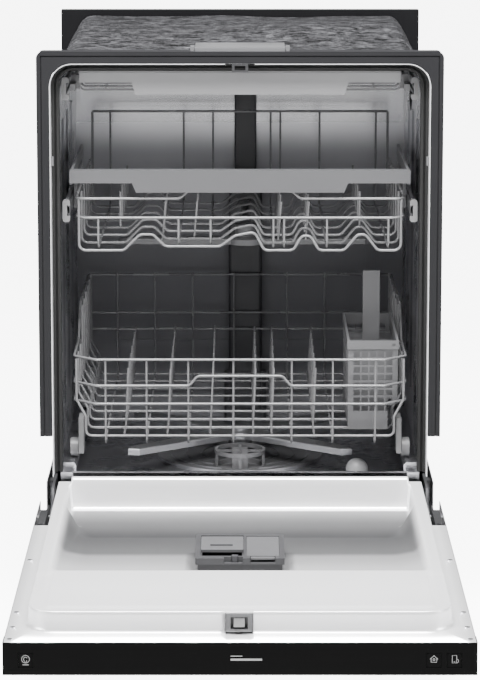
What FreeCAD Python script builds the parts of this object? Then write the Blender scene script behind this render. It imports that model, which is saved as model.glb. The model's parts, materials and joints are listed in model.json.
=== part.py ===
import FreeCAD, Part
import math
import os
from FreeCAD import Vector

# Built-in dishwasher, door open, racks home.  Millimetres, +Z up, X centred.
# Everything is drawn with y = 0 on the front frame and moved back when it is saved, so that the
# saved origin is the middle of the footprint of the open machine, on the floor.

# ---- driving dimensions ----
BODY_WIDTH = 600.0          # over the front trim
BODY_DEPTH = 560.0          # front frame to rear frame
TRIM_TOP = 848.0            # top of the front trim above the floor
DOOR_WIDTH = 603.0
DOOR_THICK = 43.0
DOOR_REACH = 720.0          # tip of the open door in front of the front frame
PIVOT_AHEAD = 22.0          # door pivot in front of the front frame
PIVOT_HEIGHT = 150.0
PIVOT_TO_LINER = 20.0       # pivot to the liner flange, square to the door
HINGE_END = 30.0            # door end beyond the pivot

SHEET = 1.0                 # stainless sheet
TRIM_FACE = 19.0            # width of the trim seen from the front
TRIM_DEPTH = 26.0
REAR_TOP = 862.0
TRIM_END = 269.0            # height of the lower ends of the trim
STEP_DEPTH = 46.0           # depth of the stepped mouth in front of the tub walls
MOUTH_STEP = 9.0            # how far the mouth stands outside the tub walls
MOUTH_RADIUS = 33.0
MOUTH_FOOT = 207.0          # lower ends of the mouth frame
SILL_TOP = 214.0
SILL_FRONT = 3.0
SILL_HALF = 252.0           # half-width of the sill between the door rims
CORNER_BACK = 28.0          # the corners of the sill step back this far
TUB_FLOOR = 180.0
SEAT = 175.0                # flat floor around the filter
SLOPE_BACK = 50.0           # where the sill slope meets the tub floor
REAR_GAP = 30.0             # tub rear wall to the rear frame face
GASKET = 11.5
GASKET_DEPTH = 18.0
BLANKET = 7.0
FIT = 0.4                   # running clearance

FIELD_FRONT = 41.0          # door tip to the raised field
FIELD_RISE = 28.0
FIELD_HALF_FOOT = 277.0
FIELD_HALF_TOP = 272.0
PLATEAU_BACK = 237.0        # door tip to the end of the plateau
RECESS_HALF = 255.0
RAMP_BACK = 526.0           # door tip to the lowest part of the ramp
RAMP_START_DROP = 7.0       # step at the end of the plateau
RECESS_DROP = 8.0           # recess floor below the liner flange
LIP_RISE = 39.0             # hinge-end lip above the liner flange
DISPENSER_WIDTH = 119.0
DISPENSER_FRONT = 435.0     # door tip to the near edges, tip side is the smaller
DISPENSER_BACK = 313.0
STRIP_DEPTH = 30.0          # black control panel, along the door

WIRE = 4.0
THIN_WIRE = 3.2
RACK_FRONT = 32.0
RACK_LENGTH = 470.0
UPPER_HALF = 241.0
UPPER_BASE = 545.0
UPPER_MID = 595.0
UPPER_TOP = 624.0
UPPER_REAR = 702.0
HANDLE_TOP = 667.0
UPPER_RAIL = 604.0          # height of the upper rack rails
THIRD_RAIL = 788.0
HANDLE_HALF = 254.0
THIRD_HALF = 238.0
THIRD_TOP = 816.0
THIRD_BASE = 786.0
LOWER_HALF = 251.0
LOWER_FRONT_HALF = 217.0
LOWER_BASE = 260.0
LOWER_RAILS = (311.0, 339.0, 379.0)
LOWER_SIDE_TOP = 430.0
WHEEL_RADIUS = 14.5
WHEEL_WIDTH = 12.0
LEDGE = 217.0               # wheel track height
BASKET_LEFT = 164.0
BASKET_WIDTH = 75.0
BASKET_HEIGHT = 137.0
BASKET_LENGTH = 224.0
BASKET_BACK = 30.0          # basket front behind the rack front
BASKET_CHAMFER = 15.0
FILTER_Y = 280.0
FILTER_RADIUS = 132.0
FILTER_CUP_RADIUS = 40.0
CUP_TOP = 202.0
ARM_REACH = 220.0
UPPER_ARM_REACH = 200.0
ARM_HEIGHT = 206.0          # underside of the lower spray arm
CUP_AHEAD = 76.0            # filter cup in front of the middle of the filter
CONDUIT_WIDTH = 55.0
CONDUIT_X = 9.0

# ---- derived ----
BODY_HALF = BODY_WIDTH / 2
DOOR_HALF = DOOR_WIDTH / 2
FRONT_Y = (DOOR_REACH - BODY_DEPTH) / 2
MOUTH_HALF = BODY_HALF - TRIM_FACE - SHEET
MOUTH_TOP = TRIM_TOP - TRIM_FACE
TUB_HALF = MOUTH_HALF - MOUTH_STEP
TUB_TOP = MOUTH_TOP - MOUTH_STEP
TUB_REAR = BODY_DEPTH - REAR_GAP
PLANE = PIVOT_HEIGHT + PIVOT_TO_LINER
DOOR_FACE = PLANE - DOOR_THICK
TIP = -DOOR_REACH
DOOR_END = HINGE_END - PIVOT_AHEAD
RACK_REAR = RACK_FRONT + RACK_LENGTH
BASE_TOP = 132.0
BASE_FLOOR = 60.0
BASE_FRONT = 46.0
PUMP_HEIGHT = 104.0

os.makedirs("parts", exist_ok=True)


# ---- helpers ----
def block(x0, x1, y0, y1, z0, z1):
    return Part.makeBox(x1 - x0, y1 - y0, z1 - z0, Vector(x0, y0, z0))


def cylinder(centre, axis, radius, length):
    return Part.makeCylinder(radius, length, Vector(*centre), Vector(*axis))


def mirrored(shape):
    return shape.mirror(Vector(0, 0, 0), Vector(1, 0, 0))


def both(shape):
    return [shape, mirrored(shape)]


def fused(shapes):
    return shapes[0].multiFuse(shapes[1:]).removeSplitter()


def cut(shape, tools):
    for tool in tools:
        shape = shape.cut(tool)
    return shape


def rounded(shape, radius, wanted):
    edges = [edge for edge in shape.Edges if wanted(edge)]
    return shape.makeFillet(radius, edges)


def along(edge, axis):
    if not isinstance(edge.Curve, Part.Line):
        return False
    direction = edge.Vertexes[1].Point - edge.Vertexes[0].Point
    return abs(direction.normalize().dot(Vector(*axis))) > 0.999


def soft_block(x0, x1, y0, y1, z0, z1, radius, axis):
    """Block with its edges along one axis rounded, as far as its thickness allows."""
    across = [size for size, held in zip((x1 - x0, y1 - y0, z1 - z0), axis) if not held]
    radius = min(radius, 0.49 * min(across))
    return rounded(block(x0, x1, y0, y1, z0, z1), radius, lambda edge: along(edge, axis))


def profile_x(points, x0, x1):
    """A closed outline of (y, z) points carried along X."""
    face = Part.Face(Part.makePolygon([Vector(x0, y, z) for y, z in points + points[:1]]))
    return face.extrude(Vector(x1 - x0, 0, 0))


def profile_y(points, y0, y1):
    """A closed outline of (x, z) points carried along Y."""
    face = Part.Face(Part.makePolygon([Vector(x, y0, z) for x, z in points + points[:1]]))
    return face.extrude(Vector(0, y1 - y0, 0))


def profile_z(points, z0, z1):
    """A closed outline of (x, y) points carried along Z."""
    face = Part.Face(Part.makePolygon([Vector(x, y, z0) for x, y in points + points[:1]]))
    return face.extrude(Vector(0, 0, z1 - z0))


def bars(points, size=WIRE, bend=9.0, split=35.0):
    """Round bar through the points with an arc at each inner one, as one solid per nearly straight run.

    A run ends after every arc that turns by more than the split angle, in degrees.
    """
    points = [Vector(*p) for p in points]
    if len(points) == 2:
        return [Part.makeCylinder(size / 2, (points[1] - points[0]).Length, points[0], points[1] - points[0])]
    runs = [[]]
    start = points[0]
    for before, corner, after in zip(points, points[1:], points[2:]):
        into = (corner - before).normalize()
        out = (after - corner).normalize()
        turn = into.getAngle(out)
        reach = min(bend * math.tan(turn / 2), (corner - before).Length * 0.45, (after - corner).Length * 0.45)
        first = corner - into * reach
        last = corner + out * reach
        radius = reach / math.tan(turn / 2)
        bisector = (out - into).normalize()
        centre = corner + bisector * (radius / math.cos(turn / 2))
        middle = centre - bisector * radius
        runs[-1].append((Part.makeLine(start, first), start, into))
        runs[-1].append((Part.Arc(first, middle, last).toShape(), first, into))
        if math.degrees(turn) > split:
            runs.append([])
        start = last
    runs[-1].append((Part.makeLine(start, points[-1]), start, points[-1] - points[-2]))
    solids = []
    for run in runs:
        ring = Part.makeCircle(size / 2, run[0][1], run[0][2])
        path = Part.Wire([edge for edge, begin, way in run])
        solids.append(path.makePipeShell([Part.Wire(ring)], True, True))
    return solids


def wire(points, size=WIRE, bend=9.0):
    """Round bar through the points as one solid, bent with arcs at every inner point."""
    return bars(points, size, bend, 180.0)[0]


def u_frame(half, top, foot, radius, band, y0, y1):
    """Top and two sides of a frame, open at the foot, rounded at its upper corners."""
    outer = soft_block(-half - band, half + band, y0, y1, foot - 100, top + band, radius + band, (0, 1, 0))
    inner = soft_block(-half, half, y0 - 1, y1 + 1, foot - 200, top, radius, (0, 1, 0))
    below = block(-half - band - 1, half + band + 1, y0 - 1, y1 + 1, foot - 201, foot)
    return cut(outer, [inner, below])


def tapered(x0, x1, y0, y1, z0, z1, inset, radius, end_radius):
    """Rounded block that narrows by inset on every side as it rises."""
    def ring(grow, z, r):
        flat = soft_block(x0 - grow, x1 + grow, y0 - grow, y1 + grow, z, z + 1, r, (0, 0, 1))
        face = min(flat.Faces, key=lambda f: f.CenterOfMass.z)
        return face.OuterWire
    return Part.makeLoft([ring(0, z0, radius), ring(-inset, z1, end_radius)], True, True)


def save(name, shapes):
    shapes = shapes if isinstance(shapes, list) else [shapes]
    solids = [solid for shape in shapes for solid in shape.Solids]
    for solid in solids:
        if not solid.isValid():
            print("not valid:", name)
    whole = Part.Compound(solids) if len(solids) > 1 else solids[0]
    whole = whole.copy()
    whole.translate(Vector(0, FRONT_Y, 0))
    whole.exportStep("parts/" + name + ".step")


# ---- tub ----
def sill_profile(grow):
    """Section of sill, slope and floor; grow is the offset towards the underside."""
    return [(SILL_FRONT, SILL_TOP - grow), (SILL_FRONT + 5, SILL_TOP - grow), (SLOPE_BACK, TUB_FLOOR - grow),
            (FILTER_Y - FILTER_RADIUS - 12, SEAT - grow), (FILTER_Y + FILTER_RADIUS + 12, SEAT - grow),
            (TUB_REAR - 40, TUB_FLOOR - grow), (TUB_REAR, TUB_FLOOR - grow)]


def tub():
    under = sill_profile(SHEET)
    floor = profile_x(sill_profile(0) + under[::-1], -TUB_HALF, TUB_HALF)
    # beside the door's rims the sill steps back, and a corner plate closes the step
    corners = both(block(SILL_HALF, TUB_HALF + 1, SILL_FRONT - 1, CORNER_BACK, 0, SILL_TOP + 1))
    slope = (SILL_TOP - TUB_FLOOR) / (SLOPE_BACK - SILL_FRONT - 5)
    corner_foot = SILL_TOP - slope * (CORNER_BACK - SILL_FRONT - 5)
    cheek = profile_x([(SILL_FRONT + 4, SILL_TOP), (CORNER_BACK + SHEET, corner_foot - SHEET),
                       (CORNER_BACK + SHEET, SILL_TOP)], SILL_HALF - SHEET, SILL_HALF)
    stop = block(SILL_HALF - SHEET, TUB_HALF, CORNER_BACK, CORNER_BACK + SHEET, corner_foot - 1, MOUTH_FOOT)
    floor = fused([cut(floor, corners)] + both(cheek) + both(stop))
    well = cylinder((0, FILTER_Y, TUB_FLOOR - 30), (0, 0, 1), FILTER_RADIUS - 8, 60)
    save("tub_floor", cut(floor, [well]))

    wall_foot = TUB_FLOOR + 2
    outer = soft_block(-TUB_HALF - SHEET, TUB_HALF + SHEET, STEP_DEPTH, TUB_REAR, wall_foot - 60,
                       TUB_TOP + SHEET, MOUTH_RADIUS + SHEET, (0, 1, 0))
    inner = soft_block(-TUB_HALF, TUB_HALF, STEP_DEPTH - 1, TUB_REAR + 1, wall_foot - 90, TUB_TOP,
                       MOUTH_RADIUS, (0, 1, 0))
    below = block(-BODY_HALF, BODY_HALF, 0, TUB_REAR + 2, wall_foot - 91, wall_foot - 26)
    wrapper = cut(outer, [inner, below])
    ledge = profile_y([(TUB_HALF, LEDGE), (TUB_HALF - 19, LEDGE), (TUB_HALF - 22, LEDGE - 4),
                       (TUB_HALF - 22, LEDGE - 14), (TUB_HALF, LEDGE - 22)], STEP_DEPTH + 4, TUB_REAR - 12)
    beads = []
    for y in (150, 265, 380):
        bead = profile_z([(TUB_HALF + SHEET / 2, y - 16), (TUB_HALF - 2.5, y - 8), (TUB_HALF - 2.5, y + 8),
                          (TUB_HALF + SHEET / 2, y + 16)], 290, TUB_TOP - 90)
        beads.extend(both(bead))
    save("tub_wrapper", fused([wrapper] + both(ledge) + beads))

    rear = block(-TUB_HALF - SHEET, TUB_HALF + SHEET, TUB_REAR, TUB_REAR + SHEET, wall_foot - 26, TUB_TOP + SHEET)
    panel = soft_block(-TUB_HALF + 50, TUB_HALF - 50, TUB_REAR - 3, TUB_REAR, 300, TUB_TOP - 60, 30, (0, 1, 0))
    dish = block(-TUB_HALF + 62, TUB_HALF - 62, TUB_REAR - 4, TUB_REAR - 1, 312, TUB_TOP - 72)
    save("tub_rear_wall", fused([rear, cut(panel, [dish])]))

    mouth = u_frame(MOUTH_HALF, MOUTH_TOP, MOUTH_FOOT, MOUTH_RADIUS, SHEET, 0, STEP_DEPTH)
    step = u_frame(TUB_HALF, TUB_TOP, MOUTH_FOOT, MOUTH_RADIUS - 8, MOUTH_STEP + SHEET, STEP_DEPTH - SHEET, STEP_DEPTH)
    sides = cut(fused([mouth, step]), [block(-22, 22, -1, 12, MOUTH_TOP - 2, MOUTH_TOP + 3)])
    save("tub_front_flange", sides)

    gasket_half = MOUTH_HALF - GASKET - FIT
    y0 = STEP_DEPTH - SHEET - GASKET_DEPTH
    ring = u_frame(gasket_half, MOUTH_TOP - GASKET - FIT, MOUTH_FOOT + 1, MOUTH_RADIUS - GASKET, GASKET, y0,
                   STEP_DEPTH - SHEET)
    channel = u_frame(gasket_half + 4, MOUTH_TOP - GASKET - FIT + 4, MOUTH_FOOT, MOUTH_RADIUS - GASKET + 4, 3.5,
                      y0 - 1, y0 + 5)
    save("tub_gasket", cut(ring, [channel]))


def casing():
    outer = block(-BODY_HALF, BODY_HALF, 0, TRIM_DEPTH, TRIM_END, TRIM_TOP)
    outer = rounded(outer, 10, lambda e: along(e, (0, 1, 0)) and e.CenterOfMass.z > TRIM_TOP - 1)
    hole = soft_block(-MOUTH_HALF - SHEET - FIT, MOUTH_HALF + SHEET + FIT, -1, TRIM_DEPTH + 1, TRIM_END - 100,
                      MOUTH_TOP + SHEET + FIT, MOUTH_RADIUS + SHEET, (0, 1, 0))
    groove = cut(block(-BODY_HALF + 6, BODY_HALF - 6, -1, 2, TRIM_END - 50, TRIM_TOP - 6),
                 [block(-BODY_HALF + 8, BODY_HALF - 8, -2, 3, TRIM_END - 60, TRIM_TOP - 8)])
    pocket = cut(block(-BODY_HALF + 1.5, BODY_HALF - 1.5, 4, TRIM_DEPTH + 1, TRIM_END - 50, TRIM_TOP - 1.5),
                 [block(-BODY_HALF + 12, BODY_HALF - 12, 3, TRIM_DEPTH + 2, TRIM_END - 60, TRIM_TOP - 12)])
    save("front_trim", cut(outer, [hole, groove, pocket]))

    inside = TUB_HALF + SHEET + 0.6
    y0 = STEP_DEPTH + 3
    y1 = TUB_REAR - 2
    outer = soft_block(-inside - BLANKET, inside + BLANKET, y0, y1, 236, TUB_TOP + SHEET + BLANKET + 24, 34, (0, 1, 0))
    inner = soft_block(-inside, inside, y0 - 1, y1 + 1, 150, TUB_TOP + SHEET + 0.6, MOUTH_RADIUS + SHEET + 0.6,
                       (0, 1, 0))
    save("sound_blanket", cut(outer, [inner]))

    rear_half = 294.0
    plate = block(-rear_half, rear_half, TUB_REAR + SHEET + 1, TUB_REAR + SHEET + 2.5, BASE_TOP, REAR_TOP)
    window = soft_block(-190, 190, TUB_REAR, BODY_DEPTH, 240, 700, 20, (0, 1, 0))
    plate = cut(plate, [window])
    posts = both(block(rear_half - 18, rear_half, TUB_REAR + SHEET + 1, BODY_DEPTH, BASE_TOP, REAR_TOP))
    rails = [block(-rear_half, rear_half, TUB_REAR + SHEET + 1, BODY_DEPTH, z, z + 18)
             for z in (BASE_TOP, REAR_TOP - 18)]
    save("rear_frame", fused([plate] + posts + rails))

    top = TUB_TOP + SHEET + BLANKET + 24
    tongue = block(-66, 66, TRIM_DEPTH - 18, TRIM_DEPTH + 50, top + 0.4, top + 2)
    foot = block(-66, 66, TRIM_DEPTH - 18, TRIM_DEPTH - 16.5, TRIM_TOP, top + 2)
    base = block(-66, 66, TRIM_DEPTH - 18, TRIM_DEPTH - 2, TRIM_TOP, TRIM_TOP + 1.2)
    holes = [cylinder((x, TRIM_DEPTH + 30, top - 2), (0, 0, 1), 2.5, 8) for x in (-45, 45)]
    save("top_bracket", cut(fused([tongue, foot, base]), holes))
    clip = block(67, 73, TRIM_DEPTH - 16, TRIM_DEPTH - 4, TRIM_TOP, TRIM_TOP + 7)
    plug = block(MOUTH_HALF - 4, MOUTH_HALF, 6, 14, 678, 691)
    save("frame_clips", both(clip) + both(plug))


def base():
    half = BODY_HALF - 6
    y1 = BODY_DEPTH
    tray = block(-half, half, BASE_FRONT, y1, BASE_FLOOR, BASE_FLOOR + 2)
    hollow_sides = both(block(half - 2, half, BASE_FRONT, y1, BASE_FLOOR, BASE_TOP - 1))
    hollow_sides += both(block(half - 2, half, BASE_FRONT, TUB_REAR, BASE_TOP - 1, MOUTH_FOOT - 20))
    front = block(-half, half, BASE_FRONT, BASE_FRONT + 2, BASE_FLOOR, BASE_TOP - 4)
    back = block(-half, half, y1 - 2, y1, BASE_FLOOR, BASE_TOP - 1)
    feet = []
    for x in (-half + 22, half - 22):
        for y in (BASE_FRONT + 24, y1 - 26):
            feet.append(cylinder((x, y, BASE_FLOOR - 14), (0, 0, 1), 12, 32))
    bores = [cylinder((x, y, BASE_FLOOR - 20), (0, 0, 1), 5 + FIT, 60)
             for x in (-half + 22, half - 22) for y in (BASE_FRONT + 24, y1 - 26)]
    slots = both(block(280, 285, BASE_FRONT - 1, BASE_FRONT + 3, PIVOT_HEIGHT - 45, BASE_TOP))
    access = [cylinder((-213, 98, BASE_FLOOR - 5), (0, 0, 1), 26, 12),
              cylinder((219, 98, BASE_FLOOR - 5), (0, 0, 1), 22, 12)]
    frame = cut(fused([tray, front, back] + hollow_sides + feet), bores + slots + access)
    save("base_frame", frame)

    for name, spots in (("front_left_leg", [(-half + 22, BASE_FRONT + 24)]),
                        ("front_right_leg", [(half - 22, BASE_FRONT + 24)]),
                        ("rear_legs", [(-half + 22, y1 - 26), (half - 22, y1 - 26)])):
        legs = []
        for x, y in spots:
            stem = cylinder((x, y, 6), (0, 0, 1), 5, 78)
            collar = Part.makePolygon([Vector(x + 9 * math.cos(math.radians(a)), y + 9 * math.sin(math.radians(a)), 8)
                                       for a in range(0, 361, 60)])
            nut = Part.Face(collar).extrude(Vector(0, 0, 8))
            pad = Part.makeCone(18, 11, 8, Vector(x, y, 0), Vector(0, 0, 1))
            legs.append(fused([stem, nut, pad]))
        save(name, legs)

    plate = fused([block(280.5, 284.5, -PIVOT_AHEAD - 9, BASE_FRONT + 60, PIVOT_HEIGHT - 9, PIVOT_HEIGHT + 9),
                   block(280.5, 284.5, 14, BASE_FRONT + 60, PIVOT_HEIGHT - 44, PIVOT_HEIGHT + 36),
                   block(280.5, half - 2, BASE_FRONT + 40, BASE_FRONT + 60, PIVOT_HEIGHT - 44, PIVOT_HEIGHT + 30)])
    pin = cylinder((280.5, -PIVOT_AHEAD, PIVOT_HEIGHT), (1, 0, 0), 4, 17)
    save("hinge_brackets", both(fused([plate, pin])))

    springs = []
    for x in (272.0,):
        coil = cylinder((x, 150, 95), (0, 1, 0), 8, 150)
        core = cylinder((x, 149, 95), (0, 1, 0), 5.5, 152)
        springs.extend(both(cut(coil, [core])))
    save("door_springs", springs)

    kick = block(-half, half, 30, 31.5, 12, 104)
    lip = block(-half, half, 30, 44, 102.5, 104)
    foot = block(-half, half, 30, 44, 12, 13.5)
    vents = [block(x, x + 26, 20, 40, 40, 44) for x in range(-250, 230, 40)]
    save("toe_kick", cut(fused([kick, lip, foot]), vents))


def hydraulics():
    bowl_floor = 140.0
    pit_floor = 92.0
    bowl_radius = 104.0
    bowl = fused([cylinder((0, FILTER_Y, bowl_floor), (0, 0, 1), bowl_radius, SEAT - SHEET - bowl_floor),
                  cylinder((0, FILTER_Y, SEAT - SHEET - 3), (0, 0, 1), FILTER_RADIUS + 4, 3),
                  cylinder((0, FILTER_Y, pit_floor), (0, 0, 1), 48, bowl_floor - pit_floor + 3)])
    hollow = fused([cylinder((0, FILTER_Y, bowl_floor + 3), (0, 0, 1), bowl_radius - 3, 60),
                    cylinder((0, FILTER_Y, pit_floor + 3), (0, 0, 1), 45, 60)])
    spout = cylinder((44, FILTER_Y, PUMP_HEIGHT), (1, 0, 0), 17, 44)
    bore = cylinder((30, FILTER_Y, PUMP_HEIGHT), (1, 0, 0), 14, 70)
    drain = cylinder((-44, FILTER_Y, PUMP_HEIGHT), (-1, 0, 0), 11, 40)
    drain_bore = cylinder((-30, FILTER_Y, PUMP_HEIGHT), (-1, 0, 0), 8, 70)
    cup_room = cylinder((0, FILTER_Y - CUP_AHEAD, SEAT - 9), (0, 0, 1), FILTER_CUP_RADIUS + 1, 20)
    body = cut(fused([bowl, spout, drain]), [hollow, bore, drain_bore, cup_room])
    save("sump", body)

    motor = fused([cylinder((90, FILTER_Y, PUMP_HEIGHT), (1, 0, 0), 34, 28),
                   cylinder((118, FILTER_Y, PUMP_HEIGHT), (1, 0, 0), 30, 72),
                   cylinder((190, FILTER_Y, PUMP_HEIGHT), (1, 0, 0), 12, 8),
                   cylinder((104, FILTER_Y + 20, PUMP_HEIGHT), (0, 1, 0), 12, 60)])
    save("circulation_pump", motor)
    drain_pump = fused([cylinder((-86, FILTER_Y, PUMP_HEIGHT), (-1, 0, 0), 26, 20),
                        soft_block(-152, -106, FILTER_Y - 22, FILTER_Y + 22, PUMP_HEIGHT - 22, PUMP_HEIGHT + 22, 6,
                                   (1, 0, 0)),
                        cylinder((-96, FILTER_Y + 20, PUMP_HEIGHT), (0, 1, 0), 9, 45)])
    save("drain_pump", drain_pump)

    valve = fused([soft_block(-236, -190, 76, 120, 76, 112, 5, (0, 0, 1)),
                   cylinder((-213, 98, 112), (0, 0, 1), 14, 22),
                   cylinder((-190, 98, 90), (1, 0, 0), 9, 14)])
    thread = cylinder((-213, 98, 77), (0, 0, -1), 13.2, 21)
    valve = cut(fused([valve, thread]), [cylinder((-213, 98, 54), (0, 0, 1), 8, 30)])
    save("inlet_valve", valve)
    box = cut(soft_block(172, 254, 64, 124, 70, 122, 4, (0, 0, 1)), [block(174, 252, 66, 122, 72, 120)])
    box = cut(box, [cylinder((219, 98, 60), (0, 0, 1), 11.1, 20)])
    save("junction_box", box)

    out = FILTER_Y + 80
    feed = wire([(104, out, PUMP_HEIGHT), (104, out + 60, PUMP_HEIGHT), (70, out + 110, PUMP_HEIGHT + 6),
                 (CONDUIT_X, TUB_REAR - 15, PUMP_HEIGHT + 20), (CONDUIT_X, TUB_REAR - 15, TUB_FLOOR - SHEET)], 20, 24)
    behind = BODY_DEPTH - 3
    drain_out = wire([(-96, FILTER_Y + 65, PUMP_HEIGHT), (-96, 440, PUMP_HEIGHT), (-180, 500, PUMP_HEIGHT),
                      (-200, behind - 25, PUMP_HEIGHT), (-200, behind, PUMP_HEIGHT)], 17, 24)
    inlet = wire([(-176, 98, 90), (-150, 98, 90), (-138, 140, 110), (-110, 190, 148), (-83.2, 213.4, 158)], 12, 20)
    save("internal_hoses", [feed, drain_out, inlet])

    plate = cylinder((0, FILTER_Y, SEAT), (0, 0, 1), FILTER_RADIUS, 2)
    rim = cut(cylinder((0, FILTER_Y, SEAT + 2), (0, 0, 1), FILTER_RADIUS, 3),
              [cylinder((0, FILTER_Y, SEAT + 1), (0, 0, 1), FILTER_RADIUS - 6, 5)])
    cup_y = FILTER_Y - CUP_AHEAD
    screen = cut(fused([plate, rim]), [cylinder((0, cup_y, SEAT - 10), (0, 0, 1), FILTER_CUP_RADIUS + FIT, 40)])
    post = cylinder((0, FILTER_Y, SEAT + 1), (0, 0, 1), 19, ARM_HEIGHT - SEAT - 1 - FIT)
    ridges = [cut(cylinder((0, FILTER_Y, SEAT + 1), (0, 0, 1), r, 2.6), [cylinder((0, FILTER_Y, SEAT), (0, 0, 1), r - 3, 5),
                                                                         cylinder((0, cup_y, SEAT), (0, 0, 1), FILTER_CUP_RADIUS + 2, 5)])
              for r in (62, 88, 110)]
    save("filter_screen", fused([screen, post] + ridges))

    foot = SEAT - 7
    skirt = cut(cylinder((0, cup_y, foot), (0, 0, 1), FILTER_CUP_RADIUS, 10),
                [cylinder((0, cup_y, foot + 3), (0, 0, 1), FILTER_CUP_RADIUS - 4, 17)])
    hoop = cut(cylinder((0, cup_y, CUP_TOP - 6), (0, 0, 1), FILTER_CUP_RADIUS, 6),
               [cylinder((0, cup_y, CUP_TOP - 7), (0, 0, 1), FILTER_CUP_RADIUS - 4.5, 9)])
    reach = FILTER_CUP_RADIUS - 1.5
    web_x = cut(block(-reach, reach, cup_y - 2.5, cup_y + 2.5, foot + 1, CUP_TOP - 1.5),
                [block(-reach + 4, reach - 4, cup_y - 9, cup_y + 9, foot + 2.2, CUP_TOP - 5)])
    web_y = cut(block(-2.2, 2.2, cup_y - reach, cup_y + reach, foot + 1.3, CUP_TOP - 2),
                [block(-9, 9, cup_y - reach + 4, cup_y + reach - 4, foot + 2.2, CUP_TOP - 4.6)])
    grip = profile_x([(cup_y - 9, foot + 2), (cup_y + 9, foot + 2), (cup_y + 6, CUP_TOP + 1), (cup_y - 6, CUP_TOP + 1)],
                     -12, 12)
    can = cut(cylinder((0, cup_y, 146), (0, 0, 1), 21, foot - 145), [cylinder((0, cup_y, 148), (0, 0, 1), 19, foot - 149)])
    save("filter_cup", fused([skirt, hoop, web_x, web_y, grip, can]))

    dome = fused([cylinder((180, 110, TUB_FLOOR + 2), (0, 0, 1), 17, 10),
                  Part.makeSphere(17, Vector(180, 110, TUB_FLOOR + 12), Vector(0, 0, 1), 0, 90, 360)])
    save("float_dome", dome)

    x0 = CONDUIT_X - CONDUIT_WIDTH / 2
    x1 = CONDUIT_X + CONDUIT_WIDTH / 2
    front = TUB_REAR - 24
    column = soft_block(x0, x1, front, TUB_REAR - 3.2, 200, UPPER_BASE + 30, 6, (0, 0, 1))
    foot = soft_block(x0 - 8, x1 + 8, front + 6, TUB_REAR - 3.2, TUB_FLOOR, 260, 8, (0, 0, 1))
    dock = cylinder((CONDUIT_X, front + 2, UPPER_BASE - 6), (0, -1, 0), 14, 14)
    neck = soft_block(CONDUIT_X - 18, CONDUIT_X + 18, front + 8, TUB_REAR - 3.2, UPPER_BASE + 20, TUB_TOP - 14, 4,
                      (0, 0, 1))
    over = soft_block(CONDUIT_X - 14, CONDUIT_X + 14, FILTER_Y + 6, TUB_REAR - 4, TUB_TOP - 14, TUB_TOP - 1, 4, (0, 1, 0))
    save("rear_conduit", fused([column, foot, dock, neck, over]))
    rose = fused([cylinder((CONDUIT_X, FILTER_Y - 20, TUB_TOP - 12), (0, 0, 1), 26, 11),
                  Part.makeCone(20, 26, 2, Vector(CONDUIT_X, FILTER_Y - 20, TUB_TOP - 14), Vector(0, 0, 1))])
    holes = [cylinder((CONDUIT_X + 14 * math.cos(a), FILTER_Y - 20 + 14 * math.sin(a), TUB_TOP - 20), (0, 0, 1), 1.6, 12)
             for a in [math.radians(45 * n) for n in range(8)]]
    save("ceiling_spray", cut(rose, holes))


def spray_arm(centre, z, reach, thick, angles):
    x, y = centre
    parts = [cylinder((x, y, z), (0, 0, 1), 30, thick), cylinder((x, y, z + thick), (0, 0, 1), 16, 5)]
    holes = []
    for angle in angles:
        wide, tip = 19.0, 13.0
        blade = profile_z([(10, -wide), (reach - 12, -tip), (reach, 0), (reach - 12, tip), (10, wide)], z, z + thick)
        blade = rounded(blade, 2.5, lambda e: e.CenterOfMass.z > z + thick - 0.01 and abs(e.CenterOfMass.y) > 5)
        for k in range(5):
            holes.append((cylinder((60 + 32 * k, 5 * (-1) ** k, z + thick - 2), (0, 0, 1), 2, 6), angle))
        blade.rotate(Vector(0, 0, 0), Vector(0, 0, 1), angle)
        blade.translate(Vector(x, y, 0))
        parts.append(blade)
    cutters = []
    for hole, angle in holes:
        hole.rotate(Vector(0, 0, 0), Vector(0, 0, 1), angle)
        hole.translate(Vector(x, y, 0))
        cutters.append(hole)
    return cut(fused(parts), [Part.Compound(cutters)])


# ---- door, drawn open ----
def liner_floor(y):
    """Height of the recess floor at y."""
    steps = [(TIP + PLATEAU_BACK, PLANE + FIELD_RISE - RAMP_START_DROP), (TIP + RAMP_BACK, PLANE - RECESS_DROP + 4),
             (DOOR_END - 26, PLANE - RECESS_DROP)]
    for (ya, za), (yb, zb) in zip(steps, steps[1:]):
        if y <= yb:
            return za + (zb - za) * (y - ya) / (yb - ya)
    return steps[-1][1]


def recess_tool(half, drop):
    y0 = TIP + PLATEAU_BACK
    y1 = TIP + RAMP_BACK
    y2 = DOOR_END - 26
    high = PLANE + 60
    outline = [(y0 - drop, high), (y0 - drop, liner_floor(y0) - drop), (y1, liner_floor(y1) - drop),
               (y2, liner_floor(y2) - drop), (DOOR_END - 13 + drop, PLANE + LIP_RISE), (DOOR_END - 13 + drop, high)]
    return profile_x(outline, -half, half)


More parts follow.
